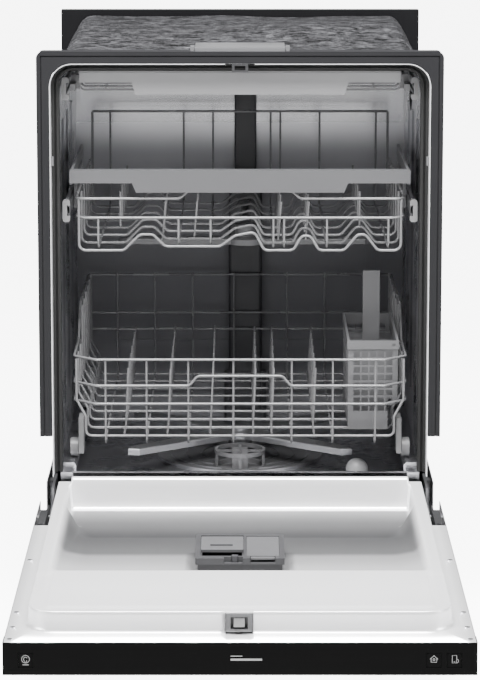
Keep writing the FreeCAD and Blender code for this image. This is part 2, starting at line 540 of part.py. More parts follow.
def door():
    side = DOOR_HALF - 1.2
    skin = block(-DOOR_HALF, DOOR_HALF, TIP + STRIP_DEPTH, DOOR_END, DOOR_FACE, DOOR_FACE + 1.2)
    returns = both(block(side, DOOR_HALF, TIP + STRIP_DEPTH, DOOR_END - 1, DOOR_FACE, PLANE - 2.5))
    end = block(-DOOR_HALF, DOOR_HALF, DOOR_END - 1.2, DOOR_END, DOOR_FACE, PIVOT_HEIGHT - 14)
    grip0 = TIP + STRIP_DEPTH + 20
    grip_hole = block(-150, 150, grip0, grip0 + 46, DOOR_FACE - 1, DOOR_FACE + 2)
    cup = block(-153, 153, grip0 - 3, grip0 + 49, DOOR_FACE + 1, DOOR_FACE + 24)
    cup_hollow = block(-150, 150, grip0, grip0 + 46, DOOR_FACE - 1, DOOR_FACE + 21)
    lip = block(-150, 150, grip0, grip0 + 12, DOOR_FACE, DOOR_FACE + 2)
    save("door_outer_panel", fused([cut(fused([skin, cup] + returns + [end]), [grip_hole, cup_hollow]), lip]))

    field0 = TIP + FIELD_FRONT
    foot = 12.0
    slope = FIELD_HALF_FOOT - FIELD_HALF_TOP
    body = tapered(-FIELD_HALF_FOOT, FIELD_HALF_FOOT, field0, DOOR_END + 60, PLANE - foot, PLANE + FIELD_RISE, slope,
                   42, 36)
    body = body.common(block(-400, 400, TIP, DOOR_END - 0.5, 0, 400))
    lip_top = PLANE + LIP_RISE
    end_lip = block(-RECESS_HALF - 4, RECESS_HALF + 4, DOOR_END - 26, DOOR_END - 12, PLANE - foot, lip_top)
    core = fused([body, end_lip])
    inner = tapered(-FIELD_HALF_FOOT + SHEET, FIELD_HALF_FOOT - SHEET, field0 + SHEET, DOOR_END + 58, PLANE - foot - 1,
                    PLANE + FIELD_RISE - SHEET, slope, 41, 35)
    inner = inner.common(block(-400, 400, TIP, DOOR_END - 1.5, 0, 400))
    inner = inner.cut(recess_tool(RECESS_HALF + SHEET, SHEET))
    shell = cut(core, [inner, recess_tool(RECESS_HALF, 0)])
    # the lowered floor below the flange comes back as a sheet
    flange = block(-DOOR_HALF + 1.5, DOOR_HALF - 1.5, TIP + 2, DOOR_END - 0.5, PLANE - SHEET, PLANE)
    flange = cut(flange, [tapered(-FIELD_HALF_FOOT, FIELD_HALF_FOOT, field0, DOOR_END + 60, PLANE - foot,
                                  PLANE + FIELD_RISE, slope, 42, 36)])
    notch0 = -PIVOT_AHEAD - 122
    notches = both(block(279.5, 310, notch0, DOOR_END + 1, PLANE - foot, PLANE + 1))
    dispenser0 = TIP + DISPENSER_BACK
    dispenser1 = TIP + DISPENSER_FRONT
    half = DISPENSER_WIDTH / 2
    opening = block(-half + 1, half - 1, dispenser0 + 1, dispenser1 - 1, DOOR_FACE, PLANE + 60)
    latch_hole = block(-18 - FIT, 16 + FIT, field0 - 4, field0 + 14, PLANE + 1.8, PLANE + FIELD_RISE - 1.5)
    panel = cut(fused([shell, flange]), notches + [opening, latch_hole])
    save("door_inner_panel", panel)

    strip = soft_block(-DOOR_HALF, DOOR_HALF, TIP, TIP + STRIP_DEPTH - FIT, DOOR_FACE, PLANE, 1.2, (1, 0, 0))
    hollow = block(-DOOR_HALF + 3, DOOR_HALF - 3, TIP + 3, TIP + STRIP_DEPTH + 1, DOOR_FACE + 3, PLANE - 1)
    top_open = block(-DOOR_HALF + 1, DOOR_HALF - 1, TIP + 1.8, TIP + STRIP_DEPTH + 1, PLANE - 1.4, PLANE + 1)
    key_holes = [block(x - 9 - FIT, x + 9 + FIT, TIP - 1, TIP + 4, PLANE - 32 - FIT, PLANE - 14 + FIT)
                 for x in KEYS.values()]
    save("control_panel", cut(strip, [hollow, top_open] + key_holes))
    for name, x in KEYS.items():
        cap = soft_block(x - 9, x + 9, TIP + 0.2, TIP + 6, PLANE - 32, PLANE - 14, 2, (0, 1, 0))
        save(name, cap)
    board = block(-282, 282, TIP + 11, TIP + 12.6, DOOR_FACE + 6, PLANE - 6)
    chips = [block(x, x + 16, TIP + 12.6, TIP + 16, DOOR_FACE + 14, DOOR_FACE + 26) for x in (-200, -60, 90, 205)]
    save("control_board", fused([board] + chips))

    pad = block(-262, 262, TIP + STRIP_DEPTH + 90, DOOR_END - 40, DOOR_FACE + 1.4, DOOR_FACE + 5.4)
    save("door_sound_pad", cut(pad, [block(-half - 3, half + 3, dispenser0 - 3, dispenser1 + 3, 0, 300)]))

    arms = []
    arm = soft_block(286, 289, -PIVOT_AHEAD - 118, -PIVOT_AHEAD + 11, PIVOT_HEIGHT - 11, PIVOT_HEIGHT + 17, 5, (1, 0, 0))
    tab = block(286, 297, -PIVOT_AHEAD - 118, -PIVOT_AHEAD - 20, PIVOT_HEIGHT + 14.5, PIVOT_HEIGHT + 17)
    head = cylinder((291.5, -PIVOT_AHEAD - 106, PIVOT_HEIGHT + 16), (0, 0, 1), 4.4, 4)
    arms.append(cut(fused([arm, tab, head]), [cylinder((270, -PIVOT_AHEAD, PIVOT_HEIGHT), (1, 0, 0), 4.08, 40)]))
    save("door_hinge_arms", arms + [mirrored(arms[0])])

    screws = []
    for from_tip in (12, 64, 131, 385):
        y = TIP + from_tip
        screws.extend(both(cylinder((293, y, PLANE), (0, 0, 1), 3.6, 1.6)))
    save("door_screws", screws)


KEYS = {"power_button": -272.0, "start_button": 272.0, "cycle_button": 246.0}


def door_fittings():
    # the tip side is nearest the viewer when the door is open
    y0 = TIP + DISPENSER_BACK
    y1 = TIP + DISPENSER_FRONT
    half = DISPENSER_WIDTH / 2
    clear = 1.2 + FIT
    deck = PLANE + 24.0
    body = block(-half + clear, half - clear, y0 + clear, y1 - clear, DOOR_FACE + 8, deck - 3)
    rim = soft_block(-half - 2, half + 2, y0 - 2, y1 + 2, deck - 9, deck, 3, (0, 0, 1))
    split = -half + 0.55 * DISPENSER_WIDTH
    cup = soft_block(-half + 7, split - 3, y0 + 14, y1 - 6, DOOR_FACE + 24, deck + 1, 5, (0, 0, 1))
    track = block(-half + 5, split - 1, y0 + 12, y1 - 4, deck - 5, deck + 1)
    rinse = block(split + 3, half - 5, y0 + 12, y1 - 8, deck - 4, deck + 1)
    rinse_cup = cylinder(((split + half) / 2 - 1, (y0 + y1) / 2, DOOR_FACE + 26), (0, 0, 1), 17, 80)
    tab_gap = block(split + 8, half - 11, y0 - 3, y0 + 13, deck - 7, deck + 1)
    thumb = block(-22, 4, y0 - 3, y0 + 6, deck - 7, deck + 1)
    key_bore = block(-11.5 - FIT, -2.5 + FIT, y0 + 3, y0 + 13, deck - 11, deck + 1)
    housing = cut(fused([body, rim]), [cup, track, rinse, rinse_cup, tab_gap, thumb, key_bore])
    save("dispenser_housing", housing)

    slide = block(-half + 5 + FIT, split - 1 - FIT, y0 + 46, y1 - 6, deck - 4.6, deck - 0.8)
    window = block(-half + 18, split - 16, y0 + 66, y0 + 74, deck - 6, deck)
    save("detergent_lid", cut(slide, [window]))
    key = soft_block(-11.5, -2.5, y0 + 3.4, y0 + 12.6, deck - 8, deck + 1.5, 2, (0, 0, 1))
    save("dispenser_button", key)
    flap = block(split + 3 + FIT, half - 5 - FIT, y0 + 12 + FIT, y1 - 9, deck - 3.6, deck - 0.4)
    tongue = block(split + 9, half - 12, y0 + 4, y0 + 13, deck - 3.6, deck - 1.4)
    save("rinse_lid", fused([flap, tongue]))

    f0 = TIP + FIELD_FRONT
    outer = block(-18, 16, f0 - 2, f0 + 12, PLANE + 2.2, PLANE + FIELD_RISE - 2)
    pocket = block(-12, 10, f0 - 3, f0 + 9, PLANE + 6, PLANE + FIELD_RISE - 6)
    save("latch_housing", cut(outer, [pocket]))
    catch = profile_x([(f0 - 6, PLANE + 10), (f0 + 4, PLANE + 10), (f0 + 4, PLANE + 21), (f0 - 1, PLANE + 21)],
                      -8, 6)
    save("latch_catch", catch)

    strike = fused([block(-12, 12, 14, 17, MOUTH_TOP - 3.5, MOUTH_TOP - 0.2),
                    block(-12, -8, 14, 17, MOUTH_TOP - 11, MOUTH_TOP - 3), block(8, 12, 14, 17, MOUTH_TOP - 11,
                                                                                 MOUTH_TOP - 3),
                    block(-12, 12, 14, 17, MOUTH_TOP - 13, MOUTH_TOP - 10)])
    save("door_strike", strike)


# ---- racks ----
def handle_bar(half, front, top, side_foot, mid_foot, seam, depth):
    """Front bar with a deeper middle and chamfered top edge."""
    points = [(-half, side_foot), (-seam, side_foot), (-seam + 6, mid_foot), (seam - 6, mid_foot),
              (seam, side_foot), (half, side_foot), (half, top), (-half, top)]
    bar = profile_y(points, front, front + depth)
    return rounded(bar, 3, lambda e: along(e, (1, 0, 0)) and e.CenterOfMass.z > top - 1
                   and e.CenterOfMass.y < front + 1)


def upper_rack():
    front = RACK_FRONT + 11
    rear = RACK_REAR - 30
    half = UPPER_HALF
    wires = []
    rows = [front + (rear - front) * n / 6 for n in range(7)]
    for n, y in enumerate(rows):
        last = n == len(rows) - 1
        side = UPPER_REAR if last else UPPER_TOP
        ridge = [(-half, side), (-half, UPPER_BASE), (-174, UPPER_BASE), (-150, UPPER_BASE + 24),
                 (-130, UPPER_BASE + 24), (-112, UPPER_BASE + 6), (-30, UPPER_BASE + 6), (-8, UPPER_BASE + 22),
                 (22, UPPER_BASE + 28), (36, UPPER_BASE), (80, UPPER_BASE), (92, UPPER_BASE + 22),
                 (106, UPPER_BASE + 22), (118, UPPER_BASE), (156, UPPER_BASE), (176, UPPER_BASE + 24),
                 (188, UPPER_BASE + 24), (206, UPPER_BASE), (half, UPPER_BASE), (half, side)]
        wires.extend(bars([(x, y, z) for x, z in ridge], WIRE, 10))
    out = half + WIRE
    ahead = front - WIRE
    behind = rear + WIRE
    wires.extend(bars([(-60, ahead, UPPER_MID), (out, ahead, UPPER_MID), (out, behind, UPPER_MID),
                       (-out, behind, UPPER_MID), (-out, ahead, UPPER_MID), (-60.5, ahead, UPPER_MID)], WIRE, 22))
    for side in (-1, 1):
        rail = [(side * 75, ahead, UPPER_TOP + 14), (side * 90, ahead, UPPER_TOP), (side * out, ahead, UPPER_TOP),
                (side * out, behind, UPPER_TOP)]
        wires.extend(bars(rail, WIRE, 14))
    wires.extend(bars([(-half, rear + WIRE, UPPER_REAR), (half, rear + WIRE, UPPER_REAR)], WIRE))
    runs = [-212, -92, -44, 50, 66, 130, 222]
    for x in runs:
        ground = UPPER_BASE + (6 if -112 < x < -30 else 0)
        wires.extend(bars([(x, front - WIRE, UPPER_MID), (x, front - WIRE, ground + 14), (x, front + 3, ground + WIRE),
                           (x, rear - 3, ground + WIRE), (x, rear + WIRE, ground + 14), (x, rear + WIRE, UPPER_REAR)],
                          THIN_WIRE, 8))
    for side in (-1, 1):
        for y in rows[1:-1]:
            wires.extend(bars([(side * 182, y + 3.6, UPPER_BASE + 24), (side * 182, y + 3.6, UPPER_BASE + 78)], THIN_WIRE))
    for x in (-118, -70, 58, 100):
        for n in range(1, 6):
            y = rows[n] + 3.6
            wires.extend(bars([(x, y, UPPER_BASE + 4), (x + 5, y, UPPER_BASE + 62)], THIN_WIRE))
    save("upper_rack_frame", wires)

    top = HANDLE_TOP
    bar = handle_bar(HANDLE_HALF, RACK_FRONT, top, top - 19, top - 33, 161, 5)
    shelf = block(-HANDLE_HALF, HANDLE_HALF, RACK_FRONT, RACK_FRONT + 20, top - 3, top)
    wing = soft_block(HANDLE_HALF - 5, HANDLE_HALF, RACK_FRONT + 1, RACK_FRONT + 300, top - 21, top, 2, (0, 1, 0))
    cheek = block(UPPER_HALF + 7, HANDLE_HALF - 1, RACK_FRONT + 60, RACK_FRONT + 240, top - 24, top - 18)
    hanger = block(UPPER_HALF + 7, HANDLE_HALF - FIT, RACK_FRONT + 110, RACK_FRONT + 210, UPPER_TOP - 30, top - 18)
    save("upper_rack_handle", fused([bar, shelf] + both(wing) + both(cheek) + both(hanger)))

    x0 = HANDLE_HALF + 1.0
    rail = block(x0, x0 + 3, RACK_FRONT + 28, RACK_FRONT + 400, UPPER_RAIL - 8, UPPER_RAIL + 8)
    slot = block(x0 + 0.8, x0 + 4, RACK_FRONT + 27, RACK_FRONT + 401, UPPER_RAIL - 5, UPPER_RAIL + 5)
    save("upper_rack_rails", both(cut(rail, [slot])))



def guides():
    x0 = HANDLE_HALF + 4.6
    out = TUB_HALF - 3.2
    fixed = []
    caps = []
    for z, x_in in ((UPPER_RAIL, x0), (THIRD_RAIL, x0)):
        channel = block(x_in, x_in + 5, STEP_DEPTH + 12, TUB_REAR - 26, z - 11, z + 11)
        groove = block(x_in - 1, x_in + 3, STEP_DEPTH + 11, TUB_REAR - 30, z - 8, z + 8)
        stand = [block(x_in + 4.5, out, y, y + 26, z - 7, z + 7) for y in (STEP_DEPTH + 40, 250, TUB_REAR - 90)]
        fixed.extend(both(fused([cut(channel, [groove])] + stand)))
        cap = soft_block(x_in - 4.2, x_in + 7, STEP_DEPTH + 1, STEP_DEPTH + 11.6, z - 17, z + 17, 4.4, (0, 1, 0))
        cap = cut(cap, [block(x_in - 5, x_in + FIT, STEP_DEPTH, STEP_DEPTH + 13, z - 8 - FIT, z + 8 + FIT)])
        caps.extend(both(cap))
    save("rack_guides", fixed)
    save("rail_end_caps", caps)


def third_rack():
    front = RACK_FRONT + 8
    rear = RACK_REAR - 40
    half = THIRD_HALF
    wires = []
    start = RACK_FRONT + 5
    dip = THIRD_BASE + 14
    for z in (THIRD_TOP - 3, THIRD_BASE + 16):
        wires.extend(bars([(-half, start, z), (-half, rear, z), (-62, rear, z), (-48, rear, min(z, dip)),
                           (48, rear, min(z, dip)), (62, rear, z), (half, rear, z), (half, start, z)], WIRE, 12))
    rows = [front + 12 + (rear - front - 24) * n / 9 for n in range(10)]
    for y in rows:
        wires.extend(bars([(-half, y, THIRD_TOP - 3), (-half, y, THIRD_BASE), (-60, y, THIRD_BASE), (-48, y, THIRD_BASE + 14),
                           (48, y, THIRD_BASE + 14), (60, y, THIRD_BASE), (half, y, THIRD_BASE), (half, y, THIRD_TOP - 3)],
                          THIN_WIRE, 7))
    for x in (-200, -130, -90, 90, 130, 200):
        wires.extend(bars([(x, front, THIRD_BASE + 3.6), (x, rear, THIRD_BASE + 3.6)], THIN_WIRE))
    save("third_rack_frame", wires)
    bar = handle_bar(THIRD_HALF, RACK_FRONT, THIRD_TOP, THIRD_TOP - 17, THIRD_TOP - 35, 161, 5)
    shelf = block(-THIRD_HALF, THIRD_HALF, RACK_FRONT, RACK_FRONT + 16, THIRD_TOP - 1, THIRD_TOP)
    runner_out = HANDLE_HALF - FIT
    runner = block(runner_out - 8, runner_out, RACK_FRONT + 30, RACK_FRONT + 400, THIRD_RAIL - 5, THIRD_RAIL + 5)
    link = block(THIRD_HALF + WIRE / 2, runner_out, RACK_FRONT + 60, RACK_FRONT + 90, THIRD_RAIL - 5, THIRD_RAIL + 16)
    save("third_rack_handle", [fused([bar, shelf])] + both(fused([runner, link])))


def lower_rack():
    front = RACK_FRONT + 4
    rear = RACK_REAR
    half = LOWER_HALF
    slant = 30.0
    wires = []
    for n, z in enumerate(LOWER_RAILS):
        rise = 60.0 if n == 2 else 30.0
        loop = ([(LOWER_FRONT_HALF, front, z), (half, front + slant, z), (half, front + 150, z),
                 (half, front + 210, z + rise * 0.8), (half, rear, z + rise * 0.8), (-half, rear, z + rise * 0.8),
                 (-half, front + 210, z + rise * 0.8), (-half, front + 150, z), (-half, front + slant, z),
                 (-LOWER_FRONT_HALF, front, z)])
        if n == 1:
            wires.extend(bars([(0, front, z + 15), (64, front, z + 15), (76, front, z)] + loop
                              + [(-76, front, z), (-64, front, z + 15), (-0.4, front, z + 15)], WIRE, 10))
        else:
            wires.extend(bars([(0, front, z)] + loop + [(-0.4, front, z)], WIRE, 10))
    base_half = 233.0
    post = 247.0
    kink = LOWER_BASE + 34
    rows = [front + 8 + (rear - front - 16) * n / 8 for n in range(9)]
    for n, y in enumerate(rows):
        high = LOWER_RAILS[2] if y < front + 150 else LOWER_SIDE_TOP
        wires.extend(bars([(-post, y, high), (-post, y, kink + 22), (-base_half, y, kink - 4), (-base_half, y, LOWER_BASE),
                           (base_half, y, LOWER_BASE), (base_half, y, kink - 4), (post, y, kink + 22), (post, y, high)],
                          WIRE, 9))
    uprights = (-203, -141, -78, -10, 78, 140, 204)
    for x in uprights:
        top = LOWER_RAILS[2]
        wires.extend(bars([(x, front + WIRE, top), (x, front + WIRE, LOWER_BASE - 6), (x, front + 12, LOWER_BASE - 12),
                           (x, front + 24, LOWER_BASE - 4), (x, rear - 20, LOWER_BASE - 4), (x, rear - WIRE, LOWER_BASE + 8),
                           (x, rear - WIRE, LOWER_SIDE_TOP)], THIN_WIRE, 6))
    for x in (-175, -110, -45, 20, 48, 112):
        for y in rows[1:-1]:
            wires.extend(bars([(x, y + 3.8, LOWER_BASE), (x + 4, y + 3.8, LOWER_BASE + 92)], THIN_WIRE))
        wires.extend(bars([(x, front + 12, LOWER_BASE + 3.6), (x, rear - 6, LOWER_BASE + 3.6)], THIN_WIRE))
    save("lower_rack_frame", wires)

    axle_z = LEDGE + WHEEL_RADIUS + 0.3
    spots = (RACK_FRONT + 62, RACK_REAR - 70)
    carriers = []
    for y in spots:
        plate = block(238.5, 246, y - 19, y + 19, LEDGE + 8, LOWER_BASE + 20)
        hub = cylinder((245, y, axle_z), (1, 0, 0), 3.5, 15)
        carriers.extend(both(fused([plate, hub])))
    save("wheel_carriers", carriers)
    for name, y in zip(("front_wheels", "rear_wheels"), spots):
        wheel = cut(cylinder((247, y, axle_z), (1, 0, 0), WHEEL_RADIUS, WHEEL_WIDTH),
                    [cylinder((246, y, axle_z), (1, 0, 0), 3.55, WHEEL_WIDTH + 2),
                     cut(cylinder((247 + WHEEL_WIDTH - 3, y, axle_z), (1, 0, 0), WHEEL_RADIUS - 2.5, 4),
                         [cylinder((246, y, axle_z), (1, 0, 0), 6.5, WHEEL_WIDTH + 3)])])
        save(name, both(wheel))


def basket():
    x0 = BASKET_LEFT
    x1 = x0 + BASKET_WIDTH
    y0 = RACK_FRONT + BASKET_BACK
    y1 = y0 + BASKET_LENGTH
    z0 = LOWER_BASE + 6
    z1 = z0 + BASKET_HEIGHT
    wall = 2.2
    step = 30.0
    slim = BASKET_CHAMFER
    outer = profile_y([(x0, z0), (x1 - slim, z0), (x1 - slim, z0 + step), (x1, z0 + step + slim), (x1, z1), (x0, z1)],
                      y0, y1)
    inner = profile_y([(x0 + wall, z0 + wall), (x1 - slim - wall, z0 + wall), (x1 - slim - wall, z0 + step + 1),
                       (x1 - wall, z0 + step + slim + 1), (x1 - wall, z1 + 1), (x0 + wall, z1 + 1)],
                      y0 + wall, y1 - wall)
    holes = []
    columns = 5
    rows = 8
    low, high = z0 + 27, z1 - 16
    pitch_z = (high - low) / rows
    pitch_x = (BASKET_WIDTH - 14) / columns
    for row in range(rows):
        zc = low + row * pitch_z
        for column in range(columns):
            xc = x0 + 7 + column * pitch_x
            holes.append(block(xc + 1, xc + pitch_x - 1, y0 - 5, y1 + 5, zc + 1.2, zc + pitch_z - 1.2))
    count = int((BASKET_LENGTH - 16) // 18)
    pitch_y = (BASKET_LENGTH - 16) / count
    for row in range(0, rows, 2):
        zc = low + row * pitch_z
        for column in range(count):
            yc = y0 + 8 + column * pitch_y
            holes.append(block(x0 - 5, x1 + 5, yc + 1.4, yc + pitch_y - 1.4, zc + 1.2, zc + 2 * pitch_z - 1.2))
    shell = cut(outer, [inner, Part.Compound(holes)])
    rim = cut(block(x0 - 1.5, x1 + 1.5, y0 - 1.5, y1 + 1.5, z1 - 13, z1), [block(x0 + wall, x1 - wall, y0 + wall,
                                                                               y1 - wall, z1 - 14, z1 + 1)])
    rim = cut(rim, [cylinder((x1 - 6, y0 - 3, z1 - 6.5), (0, 1, 0), 2.6, 8)])
    mid = (y0 + y1) / 2
    web = outer.common(block(x0 + wall / 2, x1 - wall / 2, y0, y1, z0 + 1, z1 - 20))
    ribs = [web.common(block(x0, x1, y - 1, y + 1, z0, z1)) for y in (y0 + BASKET_LENGTH / 4, mid, y1 - BASKET_LENGTH / 4)]
    stem = block(x0 + 26, x0 + 52, mid - 1.6, mid + 1.6, z1 - 22, z1 + 88)
    whole = fused([shell, rim, stem] + ribs)
    wide = (x0 - 9, x1 + 9)
    tall = (z0 - 9, z1 + 99)
    front = whole.common(block(*wide, y0 - 9, y0 + wall, *tall))
    rear = whole.common(block(*wide, y1 - wall, y1 + 9, *tall))
    middle = whole.common(block(*wide, y0 + wall, y1 - wall, *tall))
    floor = middle.common(block(*wide, y0, y1, z0 - 9, z0 + wall))
    upper = middle.common(block(*wide, y0, y1, z0 + wall, z1 + 99))
    left = upper.common(block(x0 - 9, x0 + wall, y0, y1, *tall))
    right = upper.common(block(x1 - slim - wall - 1, x1 + 9, y0, y1, *tall))
    inside = upper.common(block(x0 + wall, x1 - slim - wall - 1, y0, y1, *tall))
    save("silverware_basket", [front, rear, floor, left, right] + inside.Solids)


def spray_arms():
    save("lower_spray_arm", spray_arm((0, FILTER_Y), ARM_HEIGHT, ARM_REACH, 10, (38, 142, 218, 322)))
    z = UPPER_BASE - 28
    save("upper_spray_arm", spray_arm((CONDUIT_X, FILTER_Y), z, UPPER_ARM_REACH, 9, (0, 180)))
    pipe_z = z + 15 + 9
    tube = wire([(CONDUIT_X, FILTER_Y + 2, pipe_z), (CONDUIT_X, RACK_REAR - 14, pipe_z)], 13)
    head = cylinder((CONDUIT_X, FILTER_Y, z + 14.6), (0, 0, 1), 17, 16)
    save("upper_feed_tube", fused([tube, head]))


tub()
casing()
base()
hydraulics()
spray_arms()
door()
door_fittings()
upper_rack()
guides()
third_rack()
lower_rack()
basket()
print("nodes:", len([name for name in os.listdir("parts") if name.endswith(".step")]))
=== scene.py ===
import bpy
import bmesh
import json
import math
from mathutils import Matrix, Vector, noise


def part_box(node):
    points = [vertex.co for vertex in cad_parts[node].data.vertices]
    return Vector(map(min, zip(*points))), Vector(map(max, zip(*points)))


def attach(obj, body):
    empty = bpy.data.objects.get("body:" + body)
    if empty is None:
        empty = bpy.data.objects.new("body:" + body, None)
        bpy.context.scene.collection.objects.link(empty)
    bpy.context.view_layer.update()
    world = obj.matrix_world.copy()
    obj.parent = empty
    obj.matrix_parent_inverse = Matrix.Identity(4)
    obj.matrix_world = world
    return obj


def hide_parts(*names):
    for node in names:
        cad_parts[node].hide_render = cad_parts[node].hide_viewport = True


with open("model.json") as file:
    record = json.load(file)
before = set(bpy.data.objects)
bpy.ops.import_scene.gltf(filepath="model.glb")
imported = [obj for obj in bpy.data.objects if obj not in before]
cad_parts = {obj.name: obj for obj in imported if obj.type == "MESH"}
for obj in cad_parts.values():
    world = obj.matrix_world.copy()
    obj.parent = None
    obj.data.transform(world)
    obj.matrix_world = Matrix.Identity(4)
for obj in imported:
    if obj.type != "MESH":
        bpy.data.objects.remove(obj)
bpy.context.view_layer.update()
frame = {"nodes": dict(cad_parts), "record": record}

MM = 0.001
cad = frame["nodes"]


# ---- places read from the frame ----
door_low, door_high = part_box("door_inner_panel")
strip_low, strip_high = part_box("control_panel")
trim_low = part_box("front_trim")[0]
housing_low, housing_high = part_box("dispenser_housing")
blanket_low, blanket_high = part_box("sound_blanket")
latch_low, latch_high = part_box("latch_housing")
arm_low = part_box("door_hinge_arms")[0]

TIP = strip_low.y                # front edge of the open door
PLANE = strip_high.z             # liner flange
FRONT = trim_low.y               # face of the front frame
LINER_END = door_high.y - 0.8 * MM


# ---- shader groups ----
NOISE_LOW, NOISE_HIGH = 0.3, 0.7         # where most of a noise field's values lie
LINE_SHARE = 0.35                        # weight of the rolling lines in a sheet's gloss
FIBRE_SHARE = 1.6                        # weight of the single fibres against the loose waves
FIBRE_LOW, FIBRE_HIGH = 1.1, 1.5         # their sum, from the dark to the light fibre


def new_group(name, inputs, outputs):
    tree = bpy.data.node_groups.new(name, "ShaderNodeTree")
    for label, kind, value in inputs:
        socket = tree.interface.new_socket(label, in_out="INPUT", socket_type=kind)
        socket.default_value = value
    for label, kind in outputs:
        tree.interface.new_socket(label, in_out="OUTPUT", socket_type=kind)
    return tree, tree.nodes.new("NodeGroupInput"), tree.nodes.new("NodeGroupOutput")


def place_noise(tree, scale_from, stretch=(1, 1, 1), detail=3.0):
    """Noise over the object's own coordinates, with its scale driven by a socket."""
    place = tree.nodes.new("ShaderNodeTexCoord")
    mapping = tree.nodes.new("ShaderNodeMapping")
    mapping.inputs["Scale"].default_value = stretch
    field = tree.nodes.new("ShaderNodeTexNoise")
    field.inputs["Detail"].default_value = detail
    tree.links.new(place.outputs["Object"], mapping.inputs["Vector"])
    tree.links.new(mapping.outputs["Vector"], field.inputs["Vector"])
    tree.links.new(scale_from, field.inputs["Scale"])
    return field


def remap(tree, source, low, high):
    """The middle of a noise field, spread from low to high; each end is a number or a socket."""
    node = tree.nodes.new("ShaderNodeMapRange")
    node.inputs["From Min"].default_value = NOISE_LOW
    node.inputs["From Max"].default_value = NOISE_HIGH
    tree.links.new(source, node.inputs["Value"])
    for value, label in ((low, "To Min"), (high, "To Max")):
        if isinstance(value, (int, float)):
            node.inputs[label].default_value = value
        else:
            tree.links.new(value, node.inputs[label])
    return node.outputs["Result"]


def tint(tree, colour, darker, factor):
    """Colour, darkened where factor is high."""
    mix = tree.nodes.new("ShaderNodeMix")
    mix.data_type = "RGBA"
    mix.blend_type = "MULTIPLY"
    tree.links.new(factor, mix.inputs["Factor"])
    tree.links.new(colour, mix.inputs[6])
    mix.inputs[7].default_value = darker
    return mix.outputs[2]


def build_moulded_skin():
    """Fine moulded grain with slow drifts of tone and gloss."""
    tree, given, out = new_group(
        "moulded_skin",
        [("Colour", "NodeSocketColor", (0.5, 0.5, 0.5, 1)), ("Grain Scale", "NodeSocketFloat", 1400.0),
         ("Drift Scale", "NodeSocketFloat", 14.0), ("Dull", "NodeSocketFloat", 0.5),
         ("Gloss", "NodeSocketFloat", 0.35)],
        [("Colour", "NodeSocketColor"), ("Roughness", "NodeSocketFloat"), ("Height", "NodeSocketFloat")])
    grain = place_noise(tree, given.outputs["Grain Scale"], detail=2.0)
    drift = place_noise(tree, given.outputs["Drift Scale"], detail=5.0)
    shade = remap(tree, drift.outputs["Fac"], 0.0, 0.16)
    tree.links.new(tint(tree, given.outputs["Colour"], (0.62, 0.62, 0.64, 1), shade), out.inputs["Colour"])
    tree.links.new(remap(tree, drift.outputs["Fac"], given.outputs["Gloss"], given.outputs["Dull"]),
                   out.inputs["Roughness"])
    tree.links.new(grain.outputs["Fac"], out.inputs["Height"])
    return tree


def build_drawn_sheet():
    """Rolled sheet: long fine lines and soft handling marks."""
    tree, given, out = new_group(
        "drawn_sheet",
        [("Colour", "NodeSocketColor", (0.8, 0.8, 0.8, 1)), ("Line Scale", "NodeSocketFloat", 60.0),
         ("Mark Scale", "NodeSocketFloat", 7.0), ("Smooth", "NodeSocketFloat", 0.16),
         ("Dull", "NodeSocketFloat", 0.3)],
        [("Colour", "NodeSocketColor"), ("Roughness", "NodeSocketFloat"), ("Height", "NodeSocketFloat")])
    lines = place_noise(tree, given.outputs["Line Scale"], stretch=(1.0, 26.0, 26.0), detail=4.0)
    marks = place_noise(tree, given.outputs["Mark Scale"], detail=6.0)
    shade = remap(tree, marks.outputs["Fac"], 0.0, 0.12)
    tree.links.new(tint(tree, given.outputs["Colour"], (0.7, 0.71, 0.73, 1), shade), out.inputs["Colour"])
    blend = tree.nodes.new("ShaderNodeMath")
    blend.operation = "MULTIPLY_ADD"
    tree.links.new(lines.outputs["Fac"], blend.inputs[0])
    blend.inputs[1].default_value = LINE_SHARE
    tree.links.new(marks.outputs["Fac"], blend.inputs[2])
    tree.links.new(remap(tree, blend.outputs["Value"], given.outputs["Smooth"], given.outputs["Dull"]),
                   out.inputs["Roughness"])
    tree.links.new(lines.outputs["Fac"], out.inputs["Height"])
    return tree


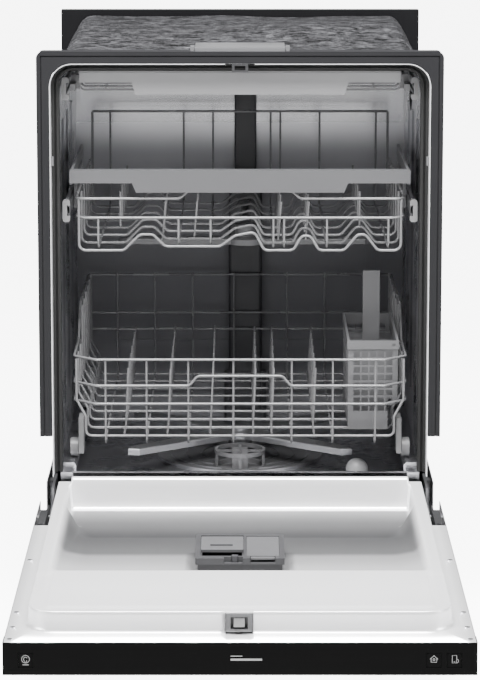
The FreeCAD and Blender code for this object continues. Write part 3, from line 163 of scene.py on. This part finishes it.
def build_matted_fibre():
    """Needled felt: crossing short fibres of light and dark grey in loose waves."""
    tree, given, out = new_group(
        "matted_fibre",
        [("Light", "NodeSocketColor", (0.3, 0.3, 0.3, 1)), ("Dark", "NodeSocketColor", (0.1, 0.1, 0.1, 1)),
         ("Fibre Scale", "NodeSocketFloat", 260.0), ("Wave Scale", "NodeSocketFloat", 46.0)],
        [("Colour", "NodeSocketColor"), ("Height", "NodeSocketFloat")])
    waves = place_noise(tree, given.outputs["Wave Scale"], stretch=(0.8, 1.2, 1.2), detail=6.0)
    waves.inputs["Distortion"].default_value = 1.2
    fibres = place_noise(tree, given.outputs["Fibre Scale"], stretch=(0.22, 1.5, 1.0), detail=8.0)
    fibres.inputs["Distortion"].default_value = 3.0
    total = tree.nodes.new("ShaderNodeMath")
    total.operation = "MULTIPLY_ADD"
    tree.links.new(fibres.outputs["Fac"], total.inputs[0])
    total.inputs[1].default_value = FIBRE_SHARE
    tree.links.new(waves.outputs["Fac"], total.inputs[2])
    spread = tree.nodes.new("ShaderNodeMapRange")
    spread.inputs["From Min"].default_value = FIBRE_LOW
    spread.inputs["From Max"].default_value = FIBRE_HIGH
    tree.links.new(total.outputs["Value"], spread.inputs["Value"])
    mix = tree.nodes.new("ShaderNodeMix")
    mix.data_type = "RGBA"
    tree.links.new(spread.outputs["Result"], mix.inputs["Factor"])
    tree.links.new(given.outputs["Dark"], mix.inputs[6])
    tree.links.new(given.outputs["Light"], mix.inputs[7])
    tree.links.new(mix.outputs[2], out.inputs["Colour"])
    tree.links.new(spread.outputs["Result"], out.inputs["Height"])
    return tree


def build_band(name, axis, stops):
    """A 0 to 1 value along one axis of the object, from (place, value) stops."""
    tree, given, out = new_group(name, [], [("Value", "NodeSocketFloat")])
    place = tree.nodes.new("ShaderNodeTexCoord")
    split = tree.nodes.new("ShaderNodeSeparateXYZ")
    span = tree.nodes.new("ShaderNodeMapRange")
    span.inputs["From Min"].default_value = stops[0][0]
    span.inputs["From Max"].default_value = stops[-1][0]
    ramp = tree.nodes.new("ShaderNodeValToRGB")
    ramp.color_ramp.interpolation = "EASE"
    while len(ramp.color_ramp.elements) < len(stops):
        ramp.color_ramp.elements.new(0.5)
    for element, (spot, value) in zip(ramp.color_ramp.elements, stops):
        element.position = (spot - stops[0][0]) / (stops[-1][0] - stops[0][0])
        element.color = (value, value, value, 1)
    tree.links.new(place.outputs["Object"], split.inputs["Vector"])
    tree.links.new(split.outputs[axis], span.inputs["Value"])
    tree.links.new(span.outputs["Result"], ramp.inputs["Fac"])
    tree.links.new(ramp.outputs["Color"], out.inputs["Value"])
    return tree


moulded_skin = build_moulded_skin()
drawn_sheet = build_drawn_sheet()
matted_fibre = build_matted_fibre()


# ---- materials ----
def start_material(name):
    made = bpy.data.materials.new(name)
    made.use_nodes = True
    return made, made.node_tree, made.node_tree.nodes["Principled BSDF"]


def add_bump(tree, shader, height, strength, distance):
    bump = tree.nodes.new("ShaderNodeBump")
    bump.inputs["Strength"].default_value = strength
    bump.inputs["Distance"].default_value = distance
    tree.links.new(height, bump.inputs["Height"])
    tree.links.new(bump.outputs["Normal"], shader.inputs["Normal"])


def moulded(name, colour, gloss=0.35, dull=0.5, grain=1400.0, bump=0.12, shine=0.5, coat=0.0, drift=14.0):
    """Moulded or painted surface, from its colour and its range of gloss."""
    made, tree, shader = start_material(name)
    skin = tree.nodes.new("ShaderNodeGroup")
    skin.node_tree = moulded_skin
    skin.inputs["Colour"].default_value = (*colour, 1)
    skin.inputs["Grain Scale"].default_value = grain
    skin.inputs["Drift Scale"].default_value = drift
    skin.inputs["Gloss"].default_value = gloss
    skin.inputs["Dull"].default_value = dull
    tree.links.new(skin.outputs["Colour"], shader.inputs["Base Color"])
    tree.links.new(skin.outputs["Roughness"], shader.inputs["Roughness"])
    shader.inputs["Specular IOR Level"].default_value = shine
    shader.inputs["Coat Weight"].default_value = coat
    shader.inputs["Coat Roughness"].default_value = 0.08
    add_bump(tree, shader, skin.outputs["Height"], bump, 0.0004)
    return made


SHADE_METAL, SHADE_DULL, SHADE_SHINE = 0.0, 0.5, 0.1    # finish of a sheet under its painted shade, where its bands are 1


def sheet_metal(name, colour, smooth=0.16, dull=0.3, metal=1.0, bump=0.05, lines=60.0, shade_bands=None, shade_colour=None):
    """Rolled sheet; where all the bands are 1 it takes a painted shade colour and a duller finish."""
    made, tree, shader = start_material(name)
    rolled = tree.nodes.new("ShaderNodeGroup")
    rolled.node_tree = drawn_sheet
    rolled.inputs["Colour"].default_value = (*colour, 1)
    rolled.inputs["Line Scale"].default_value = lines
    rolled.inputs["Smooth"].default_value = smooth
    rolled.inputs["Dull"].default_value = dull
    tree.links.new(rolled.outputs["Colour"], shader.inputs["Base Color"])
    tree.links.new(rolled.outputs["Roughness"], shader.inputs["Roughness"])
    shader.inputs["Metallic"].default_value = metal
    # painted shade: where the bands are 1 the colour is darkened and the finish dulled
    if shade_bands:
        shade_mask = tree.nodes.new("ShaderNodeMath")
        shade_mask.operation = "MULTIPLY"
        shade_mask.inputs[1].default_value = 1.0
        for place, area in enumerate(shade_bands):
            part = tree.nodes.new("ShaderNodeGroup")
            part.node_tree = area
            tree.links.new(part.outputs["Value"], shade_mask.inputs[place])
        shader.inputs["Specular IOR Level"].default_value = SHADE_SHINE
        tree.links.new(tint(tree, rolled.outputs["Colour"], (*shade_colour, 1), shade_mask.outputs["Value"]),
                       shader.inputs["Base Color"])
        for label, plain, shade_value in (("Metallic", metal, SHADE_METAL), ("Roughness", dull, SHADE_DULL)):
            change = tree.nodes.new("ShaderNodeMapRange")
            change.inputs["To Min"].default_value = plain
            change.inputs["To Max"].default_value = shade_value
            tree.links.new(shade_mask.outputs["Value"], change.inputs["Value"])
            tree.links.new(change.outputs["Result"], shader.inputs[label])
    add_bump(tree, shader, rolled.outputs["Height"], bump, 0.0003)
    return made


def felt(name, light, dark):
    """Dull fibre with a rough nap."""
    made, tree, shader = start_material(name)
    fibre = tree.nodes.new("ShaderNodeGroup")
    fibre.node_tree = matted_fibre
    fibre.inputs["Light"].default_value = (*light, 1)
    fibre.inputs["Dark"].default_value = (*dark, 1)
    tree.links.new(fibre.outputs["Colour"], shader.inputs["Base Color"])
    shader.inputs["Roughness"].default_value = 0.95
    shader.inputs["Specular IOR Level"].default_value = 0.1
    add_bump(tree, shader, fibre.outputs["Height"], 0.9, 0.003)
    return made


# painted shade: the drawn floor of the liner's recess, and the foot of the tub's back, are darker in colour
# and duller than the rest, in place of the dark reflections there
recess_shade = build_band("recess_painted_shade_area", "Y", ((-0.60, 0.0), (-0.41, 0.35), (-0.385, 0.72), (-0.27, 0.85),
                                                (-0.235, 0.97), (-0.12, 1.0), (-0.035, 0.975), (0.045, 0.93),
                                                (0.058, 0.0)))
# keeps the recess's painted shade within the width of the recess
recess_shade_width = build_band("recess_shade_width", "X", ((-0.262, 0.0), (-0.246, 1.0), (0.246, 1.0), (0.262, 0.0)))
# painted shade over the foot of the tub's back wall, fading out towards its top
rear_foot_shade = build_band("rear_foot_shade_area", "Z", ((0.56, 1.0), (0.62, 0.8), (0.70, 0.1), (0.78, 0.0)))

finishes = {
    "stainless": sheet_metal("bright_stainless", (0.95, 0.95, 0.96), 0.26, 0.34, metal=0.65),
    "tub_steel": sheet_metal("tub_stainless", (0.50, 0.50, 0.52), 0.16, 0.30, lines=40.0),
    "trim": moulded("satin_grey_coating", (0.010, 0.010, 0.011), 0.38, 0.5, grain=2200.0, bump=0.1,
                    shine=0.15),
    "steel": sheet_metal("plated_steel", (0.30, 0.30, 0.31), 0.28, 0.45),
    "coated_wire": moulded("nylon_coated_wire", (0.12, 0.12, 0.123), 0.22, 0.34, grain=1800.0, bump=0.05,
                           coat=0.3),
    "grey_plastic": moulded("mid_grey_plastic", (0.085, 0.085, 0.088), 0.34, 0.48),
    "light_plastic": moulded("light_grey_plastic", (0.15, 0.15, 0.152), 0.34, 0.46),
    "dark_plastic": moulded("charcoal_plastic", (0.030, 0.030, 0.033), 0.38, 0.52),
    "gloss_black": moulded("piano_black", (0.0015, 0.0015, 0.0015), 0.14, 0.2, bump=0.01, shine=0.03),
    "rubber": moulded("black_rubber", (0.012, 0.012, 0.012), 0.5, 0.7, grain=900.0, bump=0.2, shine=0.2),
    "felt": felt("heather_felt", (0.075, 0.075, 0.08), (0.0008, 0.0008, 0.001)),
    "bitumen": moulded("damping_mat", (0.02, 0.02, 0.02), 0.7, 0.85, grain=500.0, bump=0.4),
    "board": moulded("circuit_board_green", (0.01, 0.07, 0.03), 0.3, 0.4),
    "zinc": sheet_metal("bright_zinc", (0.75, 0.75, 0.77), 0.14, 0.25),
}
# the tub's back wall: its bright colour is a painted reflection, and its foot takes painted shade
rear_wall_painted_light = sheet_metal("tub_rear_painted_reflection", (0.92, 0.92, 0.94), 0.08, 0.20, lines=30.0, shade_bands=(rear_foot_shade,),
                       shade_colour=(0.16, 0.16, 0.165))
# the door liner, with painted shade over the floor of its recess
liner_steel = sheet_metal("liner_stainless_painted_shade", (0.95, 0.95, 0.96), 0.26, 0.34, metal=0.65,
                          shade_bands=(recess_shade, recess_shade_width), shade_colour=(0.022, 0.022, 0.023))
skin_steel = sheet_metal("brushed_door_skin", (0.56, 0.56, 0.57), 0.22, 0.32, lines=90.0)
dark_steel = sheet_metal("shaded_steel", (0.12, 0.12, 0.125), 0.3, 0.45)
print_ink = moulded("print_ink", (0.22, 0.22, 0.22), 0.5, 0.6, bump=0.0)
dispenser_grey = moulded("dispenser_grey", (0.035, 0.035, 0.037), 0.34, 0.46)
lid_grey = moulded("lid_grey", (0.075, 0.075, 0.078), 0.3, 0.42)
shadow_coat = moulded("shadow_grey_coating", (0.004, 0.004, 0.0045), 0.42, 0.55, shine=0.06)
# lighter copy of the handle grey: painted light on the third rack handle, which the tub's ceiling shades
lit_handle_grey = moulded("handle_grey_painted_light", (0.16, 0.16, 0.163), 0.4, 0.52)
# darker copy of the handle grey: painted shade on the upper rack handle
shaded_handle_grey = moulded("handle_grey_painted_shade", (0.062, 0.062, 0.065), 0.36, 0.5)
# pieces whose finish differs from the usual one of their slot, some with painted light or shade
special = {"door_outer_panel": skin_steel, "dispenser_housing": dispenser_grey, "detergent_lid": lid_grey,
           "rinse_lid": lid_grey, "latch_housing": lid_grey, "tub_rear_wall": rear_wall_painted_light,
           "door_strike": dark_steel, "door_hinge_arms": dark_steel,
           "rear_frame": shadow_coat, "third_rack_handle": lit_handle_grey, "upper_rack_handle": shaded_handle_grey}

slot_of = {entry["node"]: entry["material_slot"] for entry in frame["record"]["subparts"]}
for node_name, piece in cad.items():
    piece.data.materials.clear()
    piece.data.materials.append(special.get(node_name, finishes[slot_of[node_name]]))


# ---- helpers for made pieces ----
def finished(name, bm, body, slot, replaces=(), smooth=True, thick=0.0):
    """The piece made from bm: linked, finished, and riding on its body."""
    mesh = bpy.data.meshes.new(name)
    bm.normal_update()
    bm.to_mesh(mesh)
    bm.free()
    piece = bpy.data.objects.new(name, mesh)
    bpy.context.scene.collection.objects.link(piece)
    for face in mesh.polygons:
        face.use_smooth = smooth
    mesh.materials.append(finishes[slot])
    if thick:
        shell = piece.modifiers.new("sheet", "SOLIDIFY")
        shell.thickness = thick
        shell.offset = -1.0
    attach(piece, body)
    if replaces:
        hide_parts(*replaces)
    return piece


def smooth_step(t):
    t = min(1.0, max(0.0, t))
    return t * t * (3 - 2 * t)


def soft_max(a, b, blend):
    """The larger of two heights, with a fillet of about the blend size."""
    h = max(blend - abs(a - b), 0.0) / blend
    return max(a, b) + h * h * blend / 4


# ---- door liner: one drawn sheet ----
FIELD_BACK = 41 * MM             # door tip to the raised field
FIELD_RISE = 28 * MM
FIELD_HALF = 272 * MM
FIELD_CORNER = 36 * MM
FIELD_FOOT = 5 * MM              # rim of the field behind its foot
PLATEAU = 237 * MM               # door tip to the back of the plateau
RIM_IN = 255 * MM                # half-width of the recess at its top
SIDE_SLOPE = 1.7                 # fall of the recess side walls
SILL_SLOPE = 14.0                # steeper where the tub's sill comes in when the door shuts
SILL_RUN = 588 * MM
RAMP_DROP = 7 * MM               # step down from the plateau to the recess
RAMP_END = 526 * MM
RAMP_END_FALL = 5 * MM           # recess floor under the flange at the ramp's end
FLOOR_FALL = 3 * MM              # and its further fall to the hinge
STEP_SLOPE = 6.0                 # step at the back of the plateau
LIP_SLOPE = 5.0                  # wall up to the hinge lip
FACET_WIDE, FACET_LONG, FACET_FALL = 48 * MM, 100 * MM, 9 * MM    # slanted corners behind the step
BORDER_DROP = 1.3 * MM           # sunk border around the plateau
BORDER_WIDE = 19 * MM
LIP_RISE = 39 * MM
LIP_BACK = 12.5 * MM             # hinge end of the liner to the back of its lip
WELL_HALF = 77 * MM              # hollow around the front of the dispenser
WELL_END = 408 * MM
WELL_DEPTH = 13 * MM
HEM = 2.2 * MM                   # turned edge under the flange
FLANGE_NOTCH_HALF = 279.3 * MM   # half-width of the flange between the hinge arms
RIM_PROFILE = ((0.5, -0.3), (0.9, -1.2), (1.3, -6.0), (2.5, -22.0), (3.3, -25.2), (4.8, -27.2), (6.6, -28.0))


def liner_height(x, run):
    """Height over the flange at x, run behind the door tip."""
    end = LINER_END - TIP
    start = FIELD_RISE - RAMP_DROP
    t = min(1.0, max(0.0, (run - PLATEAU) / (RAMP_END - PLATEAU)))
    floor = start + (-RAMP_END_FALL - start) * t
    floor -= FLOOR_FALL * smooth_step((run - RAMP_END) / (end - RAMP_END))
    step = FIELD_RISE - STEP_SLOPE * (run - PLATEAU)
    slope = SIDE_SLOPE + (SILL_SLOPE - SIDE_SLOPE) * smooth_step((run - SILL_RUN) / (36 * MM))
    side = FIELD_RISE - slope * (RIM_IN - abs(x))
    facet = FIELD_RISE - FACET_FALL * ((RIM_IN - abs(x)) / FACET_WIDE + (run - PLATEAU) / FACET_LONG)
    lip_at = end - LIP_BACK - 1.5 * MM
    lip = LIP_RISE - LIP_SLOPE * (lip_at - run)
    wall = soft_max(side, lip, 34 * MM)
    height = soft_max(floor, facet, 1.5 * MM)
    height = soft_max(height, wall, 7 * MM)
    height = soft_max(height, step, 2 * MM)
    well = (smooth_step((WELL_HALF - abs(x)) / (15 * MM))
            * smooth_step((run - PLATEAU - 12 * MM) / (16 * MM))
            * smooth_step((WELL_END - run) / (40 * MM)))
    height -= WELL_DEPTH * well
    edge = min(FIELD_HALF - abs(x), run - FIELD_BACK - FIELD_FOOT)
    on_lip = abs(x) < RIM_IN - 2 * MM and end - 60 * MM < run < end - LIP_BACK
    top = LIP_RISE if on_lip else FIELD_RISE
    border = BORDER_DROP * (1 - smooth_step((edge - BORDER_WIDE) / (4 * MM))) if run < PLATEAU else 0.0
    return min(height, top) - border * (1 - smooth_step((run - PLATEAU + 24 * MM) / (20 * MM)))


def spaced(marks, step):
    """The marks, with even steps of at most the given size between them."""
    values = [marks[0]]
    for a, b in zip(marks, marks[1:]):
        count = max(1, math.ceil((b - a) / step - 1e-6))
        values.extend(a + (b - a) * n / count for n in range(1, count + 1))
    return values


def door_liner():
    """One sheet: the field and recess as a grid, then its outer wall, flange and turned edge."""
    bm = bmesh.new()
    end = LINER_END - TIP
    inset = 4 * MM
    hole = (housing_low.x + inset, housing_high.x - inset,
            housing_low.y - TIP + inset, housing_high.y - TIP - inset)
    notch_run = arm_low.y - TIP - 4 * MM
    latch = (latch_low.x - 0.5 * MM, latch_high.x + 0.5 * MM)
    half_marks = [0, 54 * MM, 80 * MM, 200 * MM, RIM_IN - 3 * MM, RIM_IN, RIM_IN + 4 * MM, FIELD_HALF]
    half_steps = (spaced(half_marks[:2], 9 * MM) + spaced(half_marks[1:3], 2.4 * MM)[1:]
                  + spaced(half_marks[2:4], 9 * MM)[1:] + spaced(half_marks[3:], 2.4 * MM)[1:])
    columns = sorted({round(v, 6) for v in half_steps} | {round(-v, 6) for v in half_steps}
                     | {round(v, 6) for v in (hole[0], hole[1], latch[0], latch[1])})
    corner = [FIELD_BACK + FIELD_FOOT + FIELD_CORNER * (1 - math.cos(a * math.pi / 24)) for a in range(0, 13)]
    rows = corner + spaced([corner[-1], 110 * MM], 4 * MM)[1:]
    rows += spaced([110 * MM, PLATEAU - 26 * MM], 12 * MM)[1:]
    rows += spaced([PLATEAU - 26 * MM, PLATEAU - 4 * MM], 3 * MM)[1:]
    rows += spaced([PLATEAU - 4 * MM, PLATEAU + 10 * MM], 1.2 * MM)[1:]
    rows += spaced([PLATEAU + 10 * MM, hole[2], hole[3], notch_run, notch_run + 0.2 * MM, end - 60 * MM],
                   4 * MM)[1:]
    rows += spaced([end - 60 * MM, end - LIP_BACK - 0.6 * MM, end - LIP_BACK + 0.4 * MM, end], 2 * MM)[1:]
    wide = FIELD_HALF

    def half_at(run):
        into = run - (FIELD_BACK + FIELD_FOOT)
        if into >= FIELD_CORNER:
            return wide
        return wide - FIELD_CORNER + math.sqrt(max(0.0, FIELD_CORNER ** 2 - (FIELD_CORNER - into) ** 2))

    keep = 200 * MM
    grid = []
    for run in rows:
        half = half_at(run)
        line = []
        for x in columns:
            if abs(x) > keep:
                x = math.copysign(keep + (abs(x) - keep) * (half - keep) / (wide - keep), x)
            line.append(bm.verts.new((x, TIP + run, PLANE + liner_height(x, run))))
        grid.append(line)
    for r in range(len(rows) - 1):
        for c in range(len(columns) - 1):
            mid_x = (columns[c] + columns[c + 1]) / 2
            mid_run = (rows[r] + rows[r + 1]) / 2
            if hole[0] < mid_x < hole[1] and hole[2] < mid_run < hole[3]:
                continue
            bm.faces.new((grid[r][c], grid[r][c + 1], grid[r + 1][c + 1], grid[r + 1][c]))

    # outer wall, flange and turned edge, carried outwards from the rim of the field
    left = [line[0] for line in reversed(grid)]
    right = [line[-1] for line in grid]
    rim = left + grid[0][1:-1] + right
    count = len(rim)
    normals = []
    for n, vert in enumerate(rim):
        before = rim[max(n - 1, 0)].co
        after = rim[min(n + 1, count - 1)].co
        flow = Vector((after.x - before.x, after.y - before.y, 0)).normalized()
        normals.append(Vector((flow.y, -flow.x, 0)))
    if normals[0].x > 0:
        normals = [-n for n in normals]
    outer_half = abs(door_low.x)
    front_run = TIP + 2 * MM
    previous = rim
    for out, down in RIM_PROFILE:
        ring = []
        for vert, normal in zip(rim, normals):
            ring.append(bm.verts.new((vert.co.x + normal.x * out * MM, vert.co.y + normal.y * out * MM,
                                      PLANE + FIELD_RISE + down * MM)))
        stitch(bm, previous, ring, latch)
        previous = ring
    ring = []
    arc_start = TIP + FIELD_BACK + FIELD_FOOT + FIELD_CORNER
    for vert, normal in zip(rim, normals):
        run = vert.co.y - TIP
        half = FLANGE_NOTCH_HALF if run > notch_run + 0.1 * MM else outer_half
        share = abs(normal.y)
        if vert.co.y >= arc_start - 1e-6:
            spot = (math.copysign(half, vert.co.x), vert.co.y)
        elif share < 0.7:
            along = math.asin(min(1.0, share)) / (math.pi / 4)
            spot = (math.copysign(half, vert.co.x), arc_start + (front_run - arc_start) * along)
        else:
            along = (math.asin(min(1.0, share)) - math.pi / 4) / (math.pi / 4)
            arc_x = wide - FIELD_CORNER
            x = half + (arc_x - half) * along if abs(vert.co.x) > arc_x - 1e-6 else abs(vert.co.x)
            spot = (math.copysign(x, vert.co.x), front_run)
        ring.append(bm.verts.new((spot[0], spot[1], PLANE)))
    stitch(bm, previous, ring, None)
    hem = [bm.verts.new((v.co.x, v.co.y, PLANE - HEM)) for v in ring]
    stitch(bm, ring, hem, None)
    bmesh.ops.recalc_face_normals(bm, faces=bm.faces)
    top = max(bm.faces, key=lambda f: f.calc_area())
    if top.normal.z < 0:
        bmesh.ops.reverse_faces(bm, faces=bm.faces)
    piece = finished("door_liner", bm, "door", "stainless", replaces=("door_inner_panel",), thick=0.8 * MM)
    piece.data.materials.clear()
    piece.data.materials.append(liner_steel)


def stitch(bm, inner, outer, gap):
    """Faces between two lines of points; gap is a range of x left open at the front."""
    for n in range(len(inner) - 1):
        mid = (inner[n].co.x + inner[n + 1].co.x) / 2
        at_front = abs(inner[n].co.y - inner[n + 1].co.y) < 1e-5
        if gap and at_front and gap[0] < mid < gap[1]:
            continue
        bm.faces.new((inner[n], inner[n + 1], outer[n + 1], outer[n]))


# ---- sound blanket: felt laid over the tub ----
FELT_DROP = 24 * MM              # top of its room down to the line of the sheet
FELT_CORNER = 36 * MM
FELT_LOFT = 16 * MM              # how far the top puffs up
FELT_CLIMB = 18 * MM             # rise of the top towards the rear frame
FELT_SWELL = 2.2 * MM            # slow ripples all over
FELT_WAVER = 3 * MM              # waver of the two free edges
FELT_THICK = 6 * MM


def sound_blanket():
    """The felt as one sheet, up one side of the tub, over it and down the other."""
    bm = bmesh.new()
    half = blanket_high.x
    top = blanket_high.z - FELT_DROP
    corner = FELT_CORNER
    foot = blanket_low.z
    path = []
    for n in range(25):
        path.append((-half, foot + (top - corner - foot) * n / 24, (-1, 0)))
    for n in range(1, 9):
        a = math.pi / 2 * n / 8
        path.append((-half + corner - corner * math.cos(a), top - corner + corner * math.sin(a),
                     (-math.cos(a), math.sin(a))))
    for n in range(1, 31):
        path.append((-half + corner + (2 * half - 2 * corner) * n / 30, top, (0, 1)))
    for x, z, (nx, nz) in reversed(path[:33]):
        path.append((-x, z, (-nx, nz)))
    y0, y1 = blanket_low.y, blanket_high.y
    rows = 40
    grid = []
    for r in range(rows + 1):
        y = y0 + (y1 - y0) * r / rows
        line = []
        for x, z, (nx, nz) in path:
            rise = FELT_LOFT * nz if nz > 0 else 0.0
            swell = noise.noise(Vector((x * 9, y * 9, z * 9))) * FELT_SWELL
            lift = rise * (0.55 + 0.45 * noise.noise(Vector((x * 5, y * 3, 4.0)))) + swell
            if nz > 0:
                lift += FELT_CLIMB * nz * smooth_step((y - y0) / (y1 - y0) * 1.6)
            edge = 1.0 if 0 < r < rows else 0.0
            wave = noise.noise(Vector((x * 12, z * 12, r * 7.0))) * FELT_WAVER * (1 - edge)
            line.append(bm.verts.new((x + nx * (swell - 1.5 * MM), y + (wave if r == 0 else -wave),
                                      z + nz * lift)))
        grid.append(line)
    for r in range(rows):
        for c in range(len(path) - 1):
            bm.faces.new((grid[r][c], grid[r][c + 1], grid[r + 1][c + 1], grid[r + 1][c]))
    bmesh.ops.recalc_face_normals(bm, faces=bm.faces)
    middle = grid[rows // 2][len(path) // 2]
    if middle.normal.z < 0:
        bmesh.ops.reverse_faces(bm, faces=bm.faces)
    piece = finished("felt_blanket", bm, "cabinet", "felt", replaces=("sound_blanket",), thick=FELT_THICK)
    soften = piece.modifiers.new("soften", "SUBSURF")
    soften.levels = 1
    soften.render_levels = 1
    return piece


# ---- printed marks on the strip ----
INK_PROUD = 0.1 * MM


def stroke(bm, points, width, closed=False):
    """Flat band of the given width along the points, in the plane of the strip's face."""
    count = len(points)
    pairs = []
    for n, (x, z) in enumerate(points):
        before = points[n - 1] if closed or n else points[n]
        after = points[(n + 1) % count] if closed or n < count - 1 else points[n]
        flow = Vector((after[0] - before[0], after[1] - before[1])).normalized()
        side = Vector((-flow.y, flow.x)) * width / 2
        pairs.append([bm.verts.new(((x + k * side.x) * MM, TIP - INK_PROUD, (z + k * side.y) * MM))
                      for k in (-1, 1)])
    for n in range(count if closed else count - 1):
        a, b = pairs[n], pairs[(n + 1) % count]
        bm.faces.new((a[0], a[1], b[1], b[0]))


def circle(x, z, radius, begin=0, end=360, step=15):
    """Points of an arc, from and to the given degrees."""
    return [(x + radius * math.cos(math.radians(a)), z + radius * math.sin(math.radians(a)))
            for a in range(begin, end + 1, step)]


def strip_mark(name, lines, body="door"):
    """One printed mark, from (points, width, closed) lines in millimetres."""
    bm = bmesh.new()
    for points, width, closed in lines:
        stroke(bm, points, width, closed)
    bmesh.ops.recalc_face_normals(bm, faces=bm.faces)
    for face in bm.faces:
        if face.normal.y > 0:
            face.normal_flip()
    piece = finished(name, bm, body, "light_plastic", smooth=False)
    piece.data.materials.clear()
    piece.data.materials.append(print_ink)
    return piece


def strip_marks():
    """A round mark, two plain bars, a house outline and an upright outline."""
    z = (strip_low.z + strip_high.z) / MM / 2
    keys = {name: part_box(name) for name in ("power_button", "start_button", "cycle_button")}
    spot = {name: (low.x + high.x) / MM / 2 for name, (low, high) in keys.items()}
    x = spot["power_button"]
    strip_mark("round_mark", [(circle(x, z, 5.0)[:-1], 0.7, True), (circle(x, z, 2.6, 30, 240), 0.7, False),
                              (circle(x, z - 2.4, 1.6, 200, 420), 0.6, False),
                              ([(x - 4, z - 7.4), (x + 4, z - 7.4)], 0.9, False)], "power_button")
    strip_mark("plain_mark", [([(-12, z + 4), (3, z + 4)], 1.0, False),
                              ([(-12, z - 0.6), (28, z - 0.6)], 2.6, False)])
    x = spot["cycle_button"]
    strip_mark("house_mark", [([(x - 5, z), (x, z + 4.6), (x + 5, z)], 0.8, False),
                              ([(x - 3.6, z + 1), (x - 3.6, z - 4), (x + 3.6, z - 4), (x + 3.6, z + 1)], 0.8,
                               False),
                              (circle(x, z - 0.6, 1.3)[:-1], 0.6, True)], "cycle_button")
    x = spot["start_button"]
    strip_mark("tall_mark", [([(x - 2.8, z - 5), (x + 2.8, z - 5), (x + 2.8, z + 5), (x - 2.8, z + 5)], 0.7,
                              True),
                             ([(x - 0.9, z - 3.6), (x + 0.9, z - 3.6)], 0.7, False),
                             (circle(x + 3.2, z - 2.4, 2.2, 270, 450), 0.6, False)], "start_button")


# ---- studio ----
PAPER_SIZE = 90
PAPER_PLACE = (0, 20.0, -0.0005)
PAPER_GLOW = 7.0                 # how brightly the paper shows to the camera alone
SKY_STRENGTH = 0.28
LAMPS = (                        # name, place, aim, size, watts
    ("overhead", (0.0, -0.6, 2.2), (0.0, -0.35, 0.1), 1.5, 300.0),
    ("front_fill", (0.0, -3.4, 2.6), (0.0, 0.0, 0.3), 1.6, 14.0),
    ("left_fill", (-2.0, -1.2, 0.9), (0.0, -0.4, 0.2), 0.7, 34.0),
    ("right_fill", (2.0, -1.2, 0.9), (0.0, -0.4, 0.2), 0.7, 34.0))


def studio():
    """Pale paper floor, plain sky and four soft lamps."""
    bpy.ops.mesh.primitive_plane_add(size=PAPER_SIZE, location=PAPER_PLACE)
    floor = bpy.context.object
    floor.name = "studio_floor"
    made, tree, shader = start_material("studio_paper")
    shader.inputs["Base Color"].default_value = (0.8, 0.8, 0.8, 1)
    shader.inputs["Roughness"].default_value = 0.9
    shader.inputs["Emission Color"].default_value = (1.0, 1.0, 1.0, 1)
    sight = tree.nodes.new("ShaderNodeLightPath")
    glow = tree.nodes.new("ShaderNodeMath")
    glow.operation = "MULTIPLY"
    glow.inputs[1].default_value = PAPER_GLOW
    tree.links.new(sight.outputs["Is Camera Ray"], glow.inputs[0])
    tree.links.new(glow.outputs["Value"], shader.inputs["Emission Strength"])
    floor.data.materials.append(made)

    world = bpy.data.worlds.new("studio_sky")
    world.use_nodes = True
    bpy.context.scene.world = world
    back = world.node_tree.nodes["Background"]
    back.inputs["Color"].default_value = (1.0, 1.0, 1.0, 1)
    back.inputs["Strength"].default_value = SKY_STRENGTH

    for name, place, aim, size, power in LAMPS:
        lamp = bpy.data.lights.new(name, "AREA")
        lamp.energy = power
        lamp.size = size
        holder = bpy.data.objects.new(name, lamp)
        holder.location = place
        way = Vector(aim) - Vector(place)
        holder.rotation_euler = way.to_track_quat("-Z", "Y").to_euler()
        bpy.context.scene.collection.objects.link(holder)


EYE_DISTANCE = 4.367             # eye to the face of the front frame
EYE_HEIGHT = 1.293
EYE_TILT = 9.39                  # degrees below level
LENS_LENGTH = 158.0
LENS_SHIFT = -0.15


def camera():
    """The viewer, straight ahead and a little above."""
    lens = bpy.data.cameras.new("viewer")
    lens.lens = LENS_LENGTH
    lens.sensor_width = 36.0
    lens.shift_y = LENS_SHIFT
    lens.clip_end = 50.0
    eye = bpy.data.objects.new("viewer", lens)
    eye.location = (0.0, FRONT - EYE_DISTANCE, EYE_HEIGHT)
    eye.rotation_euler = (math.radians(90 - EYE_TILT), 0, 0)
    bpy.context.scene.collection.objects.link(eye)
    bpy.context.scene.camera = eye


camera()
studio()
door_liner()
sound_blanket()
strip_marks()
